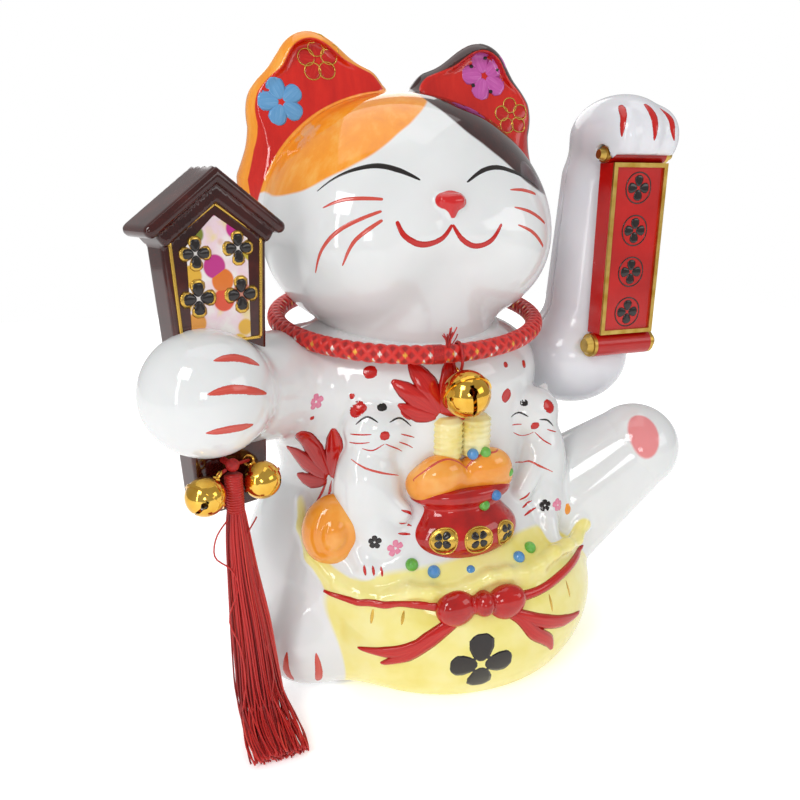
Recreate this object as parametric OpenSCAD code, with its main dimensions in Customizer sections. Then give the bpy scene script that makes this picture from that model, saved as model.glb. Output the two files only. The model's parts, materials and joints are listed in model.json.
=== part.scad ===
// Beckoning cat figurine: a hollow glazed ceramic cat with a moulded treasure bag,
// a signboard held in the right paw, a battery-driven waving left arm, a cord collar
// with a bell, and a tassel with two bells. Millimetres, +Z up, the cat faces -Y.
// The origin is the middle of the base cover's underside, at table level.

/* [Head] */
// Width of the head
head_w = 116; // [104:1:128]
// Depth of the head
head_d = 92; // [82:1:102]
// Height of the head without the ears
head_h = 94; // [86:1:102]
// Height of the middle of the head
head_z = 191; // [187:1:197]
// Distance between the two ear tips
ear_span = 73; // [62:1:84]
// Height of the middle of the ears' round tips
ear_tip_z = 250; // [242:1:256]
// Radius of the ears' round tips
ear_tip_r = 10.5; // [8:0.5:12]

/* [Torso] */
// Width across the shoulders
shoulder_w = 120; // [112:1:128]
// Depth at the shoulders
shoulder_d = 94; // [86:1:102]
// Height of the shoulders' top
shoulder_z = 147; // [144:1:150]
// Width across the haunches
haunch_w = 150; // [140:1:160]
// Depth across the haunches
haunch_d = 120; // [112:1:128]
// Thickness of the ceramic
wall = 5; // [4:0.5:6.5]
// Width of the treasure bag in front of the cat
bag_w = 134; // [124:1:142]
// Depth of the treasure bag
bag_d = 116; // [108:1:122]

/* [Signboard] */
// Width of the board at its eaves
sign_top_w = 38; // [34:1:42]
// Width of the board at its foot
sign_foot_w = 27; // [24:1:30]
// Thickness of the board
sign_t = 13; // [10:0.5:15]
// Height of the board's rounded foot above the table
sign_foot_z = 88; // [84:1:92]
// Height of the board's eaves
sign_eave_z = 186; // [180:1:190]
// Turn of the board about the vertical
sign_yaw = 22; // [14:1:28]
// Gap between the board and the paw that holds it
sign_gap = 0.25; // [0.1:0.05:0.4]

/* [Waving arm] */
// Height of the arm's pivot
pivot_z = 124; // [122:1:126]
// Distance of the arm's middle from the cat's middle
arm_x = 91; // [89:1:95]
// Radius of the arm's round root
root_r = 23; // [21:0.5:23.5]
// Radius of the arm above its root
arm_r = 20; // [18:0.5:20.5]
// Radius of the arm at the wrist
wrist_r = 17; // [15:0.5:17.5]
// Height of the middle of the paw
paw_z = 223; // [216:1:228]
// Thickness of the moulded arm shells
shell_t = 1.3; // [1.2:0.1:2.2]
// Gap between the arm's root and the socket in the body
socket_gap = 3; // [2:0.5:4]

/* [Scroll] */
// Width of the scroll panel
scroll_w = 27; // [24:1:29]
// Height of the scroll panel between its rollers
scroll_h = 72; // [66:1:76]
// Thickness of the scroll panel
scroll_t = 9; // [7:0.5:10]
// Radius of the lower roller
roller_r = 5.3; // [4.5:0.1:5.8]
// Radius of the upper roller
upper_roller_r = 3.4; // [3:0.1:4]

/* [Bells and cords] */
// Diameter of the collar bell
collar_bell_d = 18.4; // [16:0.2:20]
// Diameter of each tassel bell
tassel_bell_d = 13.8; // [12:0.2:15]
// Wall of the bells
bell_wall = 0.6; // [0.5:0.1:0.8]
// Diameter of the collar cord
cord_d = 6.2; // [5:0.1:7]
// Diameter of the tassel's wrapped neck
tassel_neck_d = 6.4; // [5.4:0.1:7]
// Length of the tassel's wrapped neck
tassel_neck_h = 14; // [11:1:17]

/* [Mechanism] */
// Radius of the steel pivot shaft
shaft_r = 2; // [1.6:0.1:2.4]
// Running clearance between the shaft and its bushes
shaft_gap = 0.05; // [0.02:0.01:0.1]
// Length of the pendulum, pivot to the middle of the weights
pendulum_l = 50; // [42:1:51]
// Lean of the pendulum towards the cat's back, in degrees, which balances the scroll
pendulum_lean = 6; // [2:1:8]
// Radius of the two counterweights
weight_r = 13; // [11:0.5:13.5]
// Thickness of each counterweight
weight_t = 6; // [4:0.5:6.5]
// Thickness of the pendulum's lever
lever_t = 2.4; // [2:0.1:2.8]
// Outer radius of the drive coil
coil_r = 9; // [8:0.5:10]

/* [Base and batteries] */
// Length of the base cover
cover_l = 92; // [86:1:94]
// Width of the base cover
cover_w = 76; // [72:1:78]
// Thickness of the base cover
cover_t = 2.4; // [2:0.1:3]
// Diameter of an AA battery
cell_d = 14.2; // [13.5:0.1:14.5]
// Length of an AA battery
cell_l = 50; // [49:0.1:50.5]
// Travel of the power switch
switch_travel = 3; // [2:0.5:3.5]

/* [Hidden] */

eps = 0.01;
pivot_y = 2;
pivot = [arm_x - 7, pivot_y, pivot_z];
socket_r = root_r + socket_gap;
socket_x = arm_x - 41;
ear_x = ear_span / 2;
paw = [-91, -48, 134.5];
paw_r = [22.5, 21, 22];
sign_at = [-83.5, -42, 0];
apex_z = sign_eave_z + 14;
tassel_at = [-84.6, -50, 105];
knot_at = tassel_at + [0, 0, 3.6];
knot_r = 2.4;
// The way the board faces, and how far the knot is from the board's middle line
sign_front = [sin(sign_yaw), -cos(sign_yaw), 0];
hole_x = (knot_at - sign_at) * [cos(sign_yaw), sin(sign_yaw), 0];
bag_z = 25;
bag_y = -15;
cover_corner_r = 14;
cover_gap = 0.3;
ledge = 3;
base_floor = 5;
box_wall = 1.6;
box_l = cell_l + 5;
box_w = 2 * cell_d + 1.2;
box_h = cell_d + 2.2 + box_wall;
door_y = -18;
door_gap = 0.3;
door_l = box_l - 2 * door_gap;
door_w = box_w - 2 * door_gap;
box_floor_z = cover_t;
cell_z = box_floor_z + 1.4 + cell_d / 2;
frame_in_x = 22;
frame_out_x = 41;
frame_t = 2.5;
pendulum_x = (frame_in_x + frame_t + frame_out_x) / 2;
frame_foot_z = 38;
coil_z = frame_foot_z + frame_t;
coil_h = 9;
collar_tilt = 9;
collar_r = [57, 48];
collar_at = [0, 3, shoulder_z + 1];
collar_front = collar_at + [0, -collar_r[1] * cos(collar_tilt), -collar_r[1] * sin(collar_tilt)];
thread_d = 1.2;
cord_gap = 0.2;
chest_y = 4 - shoulder_d / 2;
collar_bell_at = [3, chest_y - collar_bell_d / 2 - 0.8, collar_front[2] - 14];
collar_bell_eye = [0, 0.82, 0.57];
scroll_at = [arm_x + 1.5, pivot_y - arm_r - 0.3 - scroll_t / 2, 175];
roller_y = scroll_at[1];
panel_wall = 1.4;
upper_roller_z = scroll_at[2] + scroll_h / 2 + upper_roller_r;
lower_roller_z = scroll_at[2] - scroll_h / 2 - roller_r;

// ---- Shared shapes ----

// An ellipsoid at c with half-sizes r
module blob(c, r, n = 32) {
    hull() translate(c) scale(r) sphere(r = 1, $fn = n);
}

// A round limb from a to b, of radius ra at a and rb at b
module limb(a, ra, b, rb, n = 28) {
    hull() {
        translate(a) sphere(r = ra, $fn = n);
        translate(b) sphere(r = rb, $fn = n);
    }
}

// An oval drum with rounded edges: half-width a, half-depth b, from z0 to z1, edge radius r
module drum(c, a, b, z0, z1, r, n = 40) {
    hull() for (z = [z0 + r, z1 - r])
        translate([c[0], c[1], z]) scale([1, (b - r) / (a - r), 1])
            rotate_extrude($fn = n) translate([a - r, 0]) circle(r = r, $fn = 20);
}

function unit(v) = v / norm(v);
function tangent(p, i, closed) = let (n = len(p))
    closed ? unit(p[(i + 1) % n] - p[(i + n - 1) % n])
    : unit(p[min(i + 1, n - 1)] - p[max(i - 1, 0)]);
// One ring of points around path point i; up is a direction that the path never follows
function ring_at(p, i, rx, ry, up, sides, closed) =
    let (t = tangent(p, i, closed), s = unit(cross(t, up)), u = cross(s, t))
    [for (k = [0:sides - 1]) p[i] + rx * cos(360 * k / sides) * s + ry * sin(360 * k / sides) * u];

// A tube along the points p, with half-widths rx[i] across and ry[i] along the other way
module tube(p, rx, ry, up, sides = 8, closed = false) {
    n = len(p);
    rings = [for (i = [0:n - 1]) each ring_at(p, i, rx[i], ry[i], up, sides, closed)];
    last = closed ? n - 1 : n - 2;
    walls = [for (i = [0:last], k = [0:sides - 1])
        let (a = i * sides, b = ((i + 1) % n) * sides, k2 = (k + 1) % sides)
        each [[a + k, a + k2, b + k2], [a + k, b + k2, b + k]]];
    ends = closed ? [] : [[for (k = [sides - 1:-1:0]) k], [for (k = [0:sides - 1]) last * sides + sides + k]];
    polyhedron(points = rings, faces = concat(walls, ends), convexity = 4);
}

// The same radius all along a path
function even(p, r) = [for (q = p) r];

// A flat plate outline with rounded corners
module rounded_rect(l, w, r) {
    square([l - 2 * r, w], center = true);
    square([l, w - 2 * r], center = true);
    for (sx = [-1, 1], sy = [-1, 1])
        translate([sx * (l / 2 - r), sy * (w / 2 - r)]) circle(r = r, $fn = 48);
}

// ---- Ceramic body ----

module ear(side) {
    hull() {
        translate([side * ear_x, 16, ear_tip_z - 1]) scale([1, 0.62, 1]) sphere(r = ear_tip_r, $fn = 20);
        translate([side * (ear_x + 8.5), 17, 230]) scale([1, 0.62, 1]) sphere(r = 16.5, $fn = 18);
        translate([side * (ear_x - 16.5), 17, 235]) scale([1, 0.62, 1]) sphere(r = 12.5, $fn = 16);
        translate([side * ear_x, 19, 206]) scale([1, 0.62, 1]) sphere(r = 31, $fn = 24);
    }
}

module head_outside() {
    blob([0, 6, head_z], [head_w, head_d, head_h] / 2, 36);
    for (side = [-1, 1]) {
        blob([side * 26, 0, head_z - 11], [33, 41, 33], 28);
        ear(side);
    }
}

module torso_outside() {
    drum([0, 4], shoulder_w / 2, shoulder_d / 2, 72, shoulder_z, 24, 32);
    blob([1, 4, 52], [haunch_w / 2, haunch_d / 2, 46], 36);
    drum([1, -1], haunch_w / 2 - 1, haunch_d / 2 - 1, 0, 52, 14, 32);
    limb([-50, 2, 122], 23, [-83, -34, 131], 20);
    blob(paw, paw_r, 28);
    limb([-52, -14, 21], 20.5, [-56, -26, 20.5], 20.5, 24);
    limb([60, -10, 45], 32, [99, -32, 86], 20, 24);
    blob([70, -12, 80], [26, 24, 26], 24);
    limb([0, 5, 140], 36, [0, 5, 162], 36, 24);
}

// The bag, its gathered rim, and the relief in front of the cat
module bag_outside() {
    intersection() {
        blob([14, bag_y, bag_z], [bag_w / 2, bag_d / 2, 49], 36);
        translate([-150, -150, 0]) cube([300, 300, 150]);
    }
    intersection() {
        blob([-18, -8, 36], [45, 46, 40], 24);
        translate([-150, -150, 0]) cube([300, 300, 150]);
    }
}

module relief() {
    // two small cats
    blob([-24, -38, 111], [18, 9, 17], 20);
    blob([38, -33, 108], [17, 9, 17], 20);
    limb([-30, -38, 84], 11, [-22, -44, 62], 12, 16);
    limb([44, -34, 82], 10, [44, -42, 66], 11, 16);
    // pot with its rim, and the ingots and bundles over it
    limb([-6, -46, 66], 11, [21, -46, 66], 11, 16);
    limb([-13, -43, 80], 6, [27, -42, 78], 6, 16);
    blob([6, -42, 92], [23, 8, 10], 20);
    blob([6, -42, 106], [17, 6, 10], 16);
    blob([-46, -33, 70], [14, 8, 16], 20);
    // bow and knot on the bag
    blob([5, -68, 46], [7, 5, 7], 16);
    blob([-7, -66, 43], [9, 4, 6], 16);
    blob([17, -68, 42], [9, 4, 6], 16);
}

module inside() {
    difference() {
        union() {
            drum([0, 4], shoulder_w / 2 - wall, shoulder_d / 2 - wall, 60, shoulder_z - wall, 19, 16);
            blob([1, 4, 52], [haunch_w / 2 - wall, haunch_d / 2 - wall, 46 - wall], 20);
            drum([1, -1], haunch_w / 2 - 1 - wall, haunch_d / 2 - 1 - wall, base_floor, 60, 12, 16);
            blob([0, 6, head_z], [head_w, head_d, head_h] / 2 - [wall, wall, wall], 20);
            limb([0, 5, 130], 26, [0, 5, 160], 26, 16);
            intersection() {
                blob([14, bag_y, bag_z], [bag_w / 2 - wall, bag_d / 2 - wall, 49 - wall], 18);
                translate([-100, -100, base_floor]) cube(200);
            }
            limb([60, -10, 45], 26, [97, -31, 84], 14, 16);
        }
        // the ceramic behind the arm's socket
        limb([socket_x + socket_r, pivot_y, pivot_z], socket_r + wall, [150, pivot_y, pivot_z], socket_r + wall, 20);
        // the floor stays
        translate([-150, -150, -10]) cube([300, 300, 10 + base_floor]);
    }
}

module sign_outline(grow = 0) {
    half_foot = sign_foot_w / 2 + grow;
    half_top = sign_top_w / 2 + grow;
    corner = 7;
    low = sign_foot_z - grow;
    polygon([[-half_foot, low + corner + 4], [-half_foot + 3, low + 4], [-corner, low], [corner, low],
        [half_foot - 3, low + 4], [half_foot, low + corner + 4], [half_top, sign_eave_z],
        [0, apex_z], [-half_top, sign_eave_z]]);
}

// Turns the vertical plate's outline up and faces it where the board faces
module on_sign() {
    translate(sign_at) rotate([0, 0, sign_yaw]) rotate([90, 0, 0]) children();
}

module sign_board(grow = 0) {
    on_sign() translate([0, 0, -sign_t - grow]) linear_extrude(sign_t + 2 * grow) sign_outline(grow);
}

module ceramic_body() {
    color("white") difference() {
        union() {
            head_outside();
            torso_outside();
            bag_outside();
            relief();
        }
        inside();
        collar_tube(cord_d / 2 + cord_gap);
        sign_board(sign_gap);
        // the socket that the waving arm's root turns in
        limb([socket_x + socket_r, pivot_y, pivot_z], socket_r, [150, pivot_y, pivot_z], socket_r, 32);
        // the hole for the shaft's outer bush
        translate([frame_out_x, pivot_y, pivot_z]) rotate([0, 90, 0]) cylinder(r = shaft_r + 3.2, h = 30, $fn = 32);
        // the base opening and the ledge that the cover seats on
        translate([0, 0, -1]) linear_extrude(base_floor + 2)
            rounded_rect(cover_l - 2 * ledge, cover_w - 2 * ledge, cover_corner_r - ledge);
        translate([0, 0, -1]) linear_extrude(cover_t + 1.1)
            rounded_rect(cover_l + 2 * cover_gap, cover_w + 2 * cover_gap, cover_corner_r + cover_gap);
    }
}

// ---- Signboard ----

// A roof strip that follows the gable, between two heights above the eaves line
module gable_strip(low, high, overhang) {
    half = sign_top_w / 2 + overhang;
    drop = overhang * (apex_z - sign_eave_z) / (sign_top_w / 2);
    polygon([[-half, sign_eave_z - drop + low], [0, apex_z + low], [half, sign_eave_z - drop + low],
        [half, sign_eave_z - drop + high], [0, apex_z + high], [-half, sign_eave_z - drop + high]]);
}

module signboard() {
    color([0.26, 0.08, 0.06]) difference() {
        union() {
            sign_board();
            on_sign() translate([0, 0, -sign_t - 1.5]) linear_extrude(sign_t + 3.5) gable_strip(-3, 2, 1.5);
            on_sign() translate([0, 0, -sign_t - 3]) linear_extrude(sign_t + 6.5) gable_strip(1.9, 6, 4);
        }
        // the hole that the tassel's cord is tied through
        on_sign() translate([hole_x, knot_at[2], -30]) cylinder(r = 2.4, h = 60, $fn = 24);
    }
}

// ---- Collar ----

function collar_point(a) = collar_at + [collar_r[0] * sin(a), -collar_r[1] * cos(a) * cos(collar_tilt),
    -collar_r[1] * cos(a) * sin(collar_tilt)];

module collar_tube(r) {
    path = [for (a = [0:360 / 48:359]) collar_point(a)];
    tube(path, even(path, r), even(path, r), [0, 0, 1], 8, true);
}

module collar_cord() { color("red") collar_tube(cord_d / 2); }

module collar_binding() {
    path = [for (a = [-8:2:-4]) collar_point(a)];
    color("red") difference() {
        tube(path, even(path, cord_d / 2 + 0.7), even(path, cord_d / 2 + 0.7), [0, 0, 1], 16);
        tube([for (a = [-12:3:0]) collar_point(a)], even([1, 2, 3, 4, 5], cord_d / 2 + 0.1),
            even([1, 2, 3, 4, 5], cord_d / 2 + 0.1), [0, 0, 1], 16);
    }
}

// ---- Bells ----

// Everything of a bell above or below its equator; the slot and its end holes are in the lower half
module bell_half(d, upper) {
    difference() {
        rotate_extrude($fn = 48) difference() {
            intersection() {
                union() {
                    circle(r = d / 2, $fn = 64);
                    translate([0, -0.5]) square([d / 2 + 0.5, 1]);
                }
                translate([0, upper ? 0 : -d]) square([d, d]);
            }
            circle(r = d / 2 - bell_wall, $fn = 64);
            translate([-d, -d]) square([d, 2 * d]);
        }
        if (!upper) {
            translate([-d / 2 - 1, -d / 24, -d]) cube([d + 2, d / 12, d * 0.84]);
            for (s = [-1, 1])
                rotate([0, s * 55, 0]) translate([0, 0, -d]) cylinder(r = d / 11, h = d, $fn = 24);
        }
    }
    if (upper) {
        translate([0, 0, d / 2 - 0.5]) cylinder(r = d / 9, h = 0.8, $fn = 24);
        translate([0, 0, d / 2 + 1.6]) rotate([90, 0, 0])
            rotate_extrude($fn = 32) translate([1.7, 0]) circle(r = 0.45, $fn = 16);
    }
}

function pellet_at(c, d) = c - [0, 0, d / 2 - bell_wall - 0.2 - pellet_r(d)];
function pellet_r(d) = d / 7;

// Turns a bell so that its eye points along the unit vector e, and turns its slot by spin
module bell_pose(c, e, spin) {
    translate(c) rotate([0, acos(e[2]), atan2(e[1], e[0])]) rotate([0, 0, spin]) children();
}

module collar_bell_pose() {
    bell_pose(collar_bell_at, unit(collar_bell_eye), -10) children();
}

// A loop of thread around the collar cord and through the bell's eye
module collar_bell_thread() {
    eye = collar_bell_at + (collar_bell_d / 2 + 1.6) * unit(collar_bell_eye);
    low = eye[2];
    high = collar_front[2] + cord_d / 2 + 1.2;
    path = [for (a = [0:20:340]) [collar_bell_at[0], collar_front[1] + (cord_d / 2 + 1.2) * cos(a),
        (low + high) / 2 + (high - low) / 2 * sin(a)]];
    color("red") tube(path, even(path, thread_d / 2), even(path, thread_d / 2), [1, 0, 0], 6, true);
}

// The tassel's bells hang in front of the board, one on each side of the tassel
function tassel_bell_at(side) = tassel_at + side * [10.2, 4.1, 0] + [0, -1.2, -4.5];
function tassel_bell_eye(side) = unit(side < 0 ? [0.6, 0.45, 0.65] : [-0.45, 0.35, 0.8]);

module tassel_bell_pose(side) {
    bell_pose(tassel_bell_at(side), tassel_bell_eye(side), side < 0 ? 60 : 20) children();
}

// A short thread from the knot to the bell's eye
module tassel_bell_thread(side) {
    eye = tassel_bell_at(side) + (tassel_bell_d / 2 + 1.6) * tassel_bell_eye(side);
    away = unit(eye - knot_at);
    path = [knot_at + (knot_r + 0.3) * away, (knot_at + eye) / 2 + away, eye];
    color("red") tube(path, even(path, thread_d / 2), even(path, thread_d / 2), [0, 1, 0.2], 8);
}

// ---- Tassel ----

// The cord through the board's hole, tied behind it
module tassel_cord() {
    path = [for (k = [0:4]) knot_at - (2 + k * (sign_t + 5) / 4) * sign_front];
    color("red") tube(path, even(path, thread_d), even(path, thread_d), [0, 0, 1], 8);
}

module tassel_knot() {
    color("red") translate(knot_at) sphere(r = knot_r, $fn = 32);
}

module tassel_neck() {
    color("red") translate(tassel_at - [0, 0, tassel_neck_h]) {
        cylinder(r = tassel_neck_d / 2, h = tassel_neck_h, $fn = 32);
        translate([0, 0, tassel_neck_h - 1]) cylinder(r = 1.4, h = 1.8, $fn = 24);
    }
}

module tassel_skirt() {
    top = tassel_at - [0, 0, tassel_neck_h];
    path = [top, top + [0, 0, -7], top + [0.8, 0, -25], top + [2.6, 0, -47], [-80.6, -50, 20],
        [-79.8, -52, 10], [-79, -58, 5.8], [-78, -66, 3.6], [-77, -74, 2.5]];
    wide = [3.2, 4.6, 6, 8, 9.5, 10, 10.5, 10.5, 9.5];
    deep = [3.2, 3.8, 4.2, 5, 5.2, 4.8, 4, 3, 2];
    color("red") tube(path, deep, wide, [-1, 0, 0], 12);
}

// ---- Waving arm ----

module arm_outside() {
    blob(pivot, [26, root_r, root_r], 32);
    limb([arm_x - 1, pivot_y, pivot_z], arm_r, [arm_x + 1, 0, 205], wrist_r, 32);
    blob([arm_x + 3, -11, paw_z], [19.5, 25, 16.5], 32);
    for (k = [-1:1]) blob([arm_x + 3 + k * 10, -23, paw_z - 2], [7.5, 12.5, 12], 16);
}

module arm_inside() {
    difference() {
        union() {
            blob(pivot, [26 - shell_t, root_r - shell_t, root_r - shell_t], 24);
            limb([arm_x - 1, pivot_y, pivot_z], arm_r - shell_t, [arm_x + 1, 0, 205], wrist_r - shell_t, 24);
            blob([arm_x + 3, -11, paw_z], [17.7, 23.2, 14.7], 24);
        }
        // the boss around the hub
        translate([arm_x - 40, pivot_y, pivot_z]) rotate([0, 90, 0]) cylinder(r = 8.5, h = 30, $fn = 24);
    }
}

// Both halves of the arm; front is the half before the plane through the pivot
module arm_half(front) {
    difference() {
        arm_outside();
        arm_inside();
        translate([0, front ? pivot_y : pivot_y - 200, 0]) cube([200, 200, 300]);
        translate([arm_x - 42, pivot_y, pivot_z]) rotate([0, 90, 0]) cylinder(r = 6.2, h = 34, $fn = 32);
        // room for the scroll's upper roller and the panel's top
        translate([scroll_at[0] - 30, roller_y, upper_roller_z]) rotate([0, 90, 0])
            cylinder(r = upper_roller_r + 0.3, h = 60, $fn = 24);
        translate([scroll_at[0] - scroll_w / 2 - 0.3, roller_y - scroll_t / 2 - 1.3, scroll_at[2] - 20])
            cube([scroll_w + 0.6, scroll_t + 1.6, scroll_h / 2 + 21]);
        // and for the lower roller with its knobs
        translate([scroll_at[0] - 30, roller_y, lower_roller_z]) rotate([0, 90, 0])
            cylinder(r = roller_r + 0.3, h = 60, $fn = 24);
    }
}

module arm_front_shell() { color("white") arm_half(true); }
module arm_back_shell() { color("white") arm_half(false); }

module arm_hub() {
    color("white") translate([pivot[0] - 25.5, pivot_y, pivot_z]) rotate([0, 90, 0]) difference() {
        cylinder(r = 6, h = 20, $fn = 48);
        translate([0, 0, -1]) cylinder(r = shaft_r, h = 18, $fn = 32);
    }
}

// ---- Scroll ----

// A moulded tray, open towards the arm
module scroll_panel() {
    color("red") translate(scroll_at) difference() {
        cube([scroll_w, scroll_t, scroll_h], center = true);
        translate([0, panel_wall, 0])
            cube([scroll_w - 2 * panel_wall, scroll_t, scroll_h - 2 * panel_wall], center = true);
    }
}

// The raised gilt border on the panel's face
module scroll_frame() {
    rim = 1.8;
    color("gold") translate(scroll_at - [0, scroll_t / 2 + 0.5, 0]) difference() {
        cube([scroll_w, 1, scroll_h], center = true);
        cube([scroll_w - 2 * rim, 2, scroll_h - 2 * rim], center = true);
    }
}

module roller(z, r, length) {
    color("red") translate([scroll_at[0] - length / 2, roller_y, z]) rotate([0, 90, 0])
        cylinder(r = r, h = length, $fn = 48);
}

module scroll_upper_roller() { roller(upper_roller_z, upper_roller_r, scroll_w + 1); }
module scroll_lower_roller() { roller(lower_roller_z, roller_r, scroll_w + 1); }

// Knobs 1 and 2 are on the upper roller, 3 and 4 on the lower one
module scroll_knob(k) {
    side = k % 2 == 0 ? -1 : 1;
    upper = k < 2;
    r = upper ? upper_roller_r : roller_r;
    color("gold") translate([scroll_at[0] + side * (scroll_w + 1) / 2, roller_y, upper ? upper_roller_z : lower_roller_z])
        rotate([0, side * 90, 0]) {
            cylinder(r = r * 0.98, h = 1.6, $fn = 32);
            translate([0, 0, 1.6]) cylinder(r1 = r * 0.8, r2 = r * 0.55, h = 2.4, $fn = 32);
        }
}

// ---- Mechanism ----

// A rod along X at the pivot
module along_pivot(x0, x1, r) {
    translate([x0, pivot_y, pivot_z]) rotate([0, 90, 0]) cylinder(r = r, h = x1 - x0, $fn = 48);
}

module pivot_shaft() {
    color("silver") along_pivot(frame_in_x - 2, pivot[0] - 25.5 + 17, shaft_r);
}

// The outer bush has a flange between the frame and the ceramic
module outer_bush() {
    flange_x = frame_out_x + frame_t;
    color("ivory") difference() {
        union() {
            along_pivot(frame_out_x, socket_x + 3, shaft_r + 3);
            along_pivot(flange_x, flange_x + 1.4, 9);
        }
        along_pivot(frame_out_x - 1, socket_x + 4, shaft_r + shaft_gap);
    }
}
module inner_bush() {
    color("ivory") difference() {
        along_pivot(frame_in_x, frame_in_x + frame_t, shaft_r + 3);
        along_pivot(frame_in_x - 1, frame_in_x + frame_t + 1, shaft_r + shaft_gap);
    }
}

module mechanism_frame() {
    plate_top = pivot_z + 9;
    color("dimgray") difference() {
        union() {
            for (x = [frame_in_x, frame_out_x])
                translate([x, pivot_y - 10, frame_foot_z]) cube([frame_t, 20, plate_top - frame_foot_z]);
            translate([frame_in_x, pivot_y - 10, frame_foot_z])
                cube([frame_out_x + frame_t - frame_in_x, 20, frame_t]);
            // the arm that carries the driver board
            translate([frame_in_x - 8, pivot_y - 10, frame_foot_z]) cube([8 + eps, 20, frame_t]);
        }
        along_pivot(frame_in_x - 5, frame_out_x + 10, shaft_r + 3);
    }
}

// Draws what hangs from the shaft, with the pivot as its origin and the pendulum along -Z
module on_pendulum() {
    translate([pendulum_x, pivot_y, pivot_z]) rotate([pendulum_lean, 0, 0]) children();
}

module pendulum_lever() {
    color("white") difference() {
        on_pendulum() {
            translate([-3, 0, 0]) rotate([0, 90, 0]) cylinder(r = 5, h = 6, $fn = 48);
            translate([-lever_t / 2, -3, -pendulum_l - weight_r - 4]) cube([lever_t, 6, pendulum_l + weight_r + 4]);
        }
        along_pivot(pendulum_x - 5, pendulum_x + 5, shaft_r);
    }
}

// One round steel weight on each side of the lever
module counterweight(side) {
    inner = side * lever_t / 2;
    color("silver") on_pendulum() translate([side < 0 ? inner - weight_t : inner, 0, -pendulum_l])
        rotate([0, 90, 0]) cylinder(r = weight_r, h = weight_t, $fn = 64);
}

module pendulum_magnet() {
    color("gray") on_pendulum() translate([0, 0, -pendulum_l - weight_r - 4 - 3])
        cylinder(r = 4, h = 3, $fn = 32);
}

module coil_bobbin() {
    color("black") translate([pendulum_x, pivot_y, coil_z]) difference() {
        union() {
            cylinder(r = 2.4, h = coil_h, $fn = 32);
            cylinder(r = coil_r - 2.8, h = 1, $fn = 48);
            translate([0, 0, coil_h - 1]) cylinder(r = coil_r - 2.8, h = 1, $fn = 48);
        }
        translate([0, 0, -1]) cylinder(r = 1.2, h = coil_h + 2, $fn = 24);
    }
}

module coil_winding() {
    color("orange") translate([pendulum_x, pivot_y, coil_z + 1]) difference() {
        cylinder(r = coil_r - 3, h = coil_h - 2, $fn = 48);
        translate([0, 0, -1]) cylinder(r = 2.4, h = coil_h, $fn = 32);
    }
}

board_at = [frame_in_x - 4.6, pivot_y, frame_foot_z + frame_t];

module driver_board() {
    color("green") translate(board_at + [0, -12, 0]) cube([1.6, 24, 28]);
}

module driver_chip() {
    color("black") translate(board_at + [-2.4, -4, 10]) cube([2.4, 8, 6]);
}

// Two leads from the battery box's top to the shelf under the driver board
module lead(dy) {
    path = [
        [20.5, dy - 10, 20.5], [20.5, dy - 9, 25], [20.5, dy - 5, 29], [20.5, dy, 33],
        [20.5, dy + 1.6, 36], [20.5, dy + 1.6, frame_foot_z - 0.02]
    ];
    tube(path, even(path, 0.6), even(path, 0.6), [1, 0, 0], 8);
}

module lead_red() { color("red") lead(-3); }
module lead_black() { color("black") lead(3); }

// ---- Base ----

module base_cover() {
    color("ivory") difference() {
        linear_extrude(cover_t) rounded_rect(cover_l, cover_w, cover_corner_r);
        translate([0, door_y, -1]) linear_extrude(cover_t + 2)
            square([door_l + 2 * door_gap, door_w + 2 * door_gap], center = true);
        // the slot that the switch's slider shows in
        translate([0, 22, -1]) linear_extrude(cover_t + 2)
            square([6 + switch_travel + 1, 5], center = true);
    }
}

module battery_door() {
    color("ivory") translate([0, door_y, 0.4]) {
        linear_extrude(cover_t - 0.6) square([door_l, door_w], center = true);
    }
}

module battery_box() {
    color("dimgray") translate([0, door_y, box_floor_z]) difference() {
        linear_extrude(box_h) square([box_l + 4, box_w + 4], center = true);
        translate([0, 0, -1]) linear_extrude(box_h - box_wall + 1) square([box_l, box_w], center = true);
    }
}

module battery(row, tip) {
    color("navy") translate([-tip * cell_l / 2, door_y + row * (cell_d / 2 + 0.3), cell_z]) rotate([0, tip * 90, 0]) {
        cylinder(r = cell_d / 2, h = cell_l - 1.2, $fn = 48);
        translate([0, 0, cell_l - 1.2]) cylinder(r = 2.7, h = 1.2, $fn = 32);
    }
}

module battery_1() { battery(-1, 1); }
module battery_2() { battery(1, -1); }

// Thin metal at the ends of the cells, with a small gap kept to each of them
module contact_plate(x, row) {
    translate([x, door_y + row * (cell_d / 2 + 0.3) - 5, cell_z - 5]) cube([0.5, 10, 10]);
}

contact_x = box_l / 2 - 0.5;

module contact_spring() {
    color("silver") {
        contact_plate(-contact_x - 0.5, -1);
        translate([-contact_x, door_y - cell_d / 2 - 0.3, cell_z]) rotate([0, 90, 0])
            cylinder(r1 = 4, r2 = 2.5, h = contact_x - cell_l / 2 - 0.1, $fn = 24);
    }
}

module contact_button() {
    color("silver") {
        contact_plate(-contact_x - 0.5, 1);
        translate([-contact_x, door_y + cell_d / 2 + 0.3, cell_z]) rotate([0, 90, 0])
            cylinder(r = 3, h = contact_x - cell_l / 2 - 0.1, $fn = 24);
    }
}

module contact_bridge() {
    color("silver") translate([contact_x, door_y - cell_d, cell_z - 5]) cube([0.5, 2 * cell_d, 10]);
}

module switch_body() {
    color("dimgray") translate([0, 22, cover_t]) difference() {
        linear_extrude(7) square([20, 9], center = true);
        translate([0, 0, -1]) linear_extrude(4) square([6 + switch_travel + 1, 5], center = true);
    }
}

module switch_slider() {
    color("black") translate([-switch_travel / 2, 22, 0.5])
        linear_extrude(cover_t + 2) square([6, 4.4], center = true);
}

// ---- The parts ----

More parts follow.
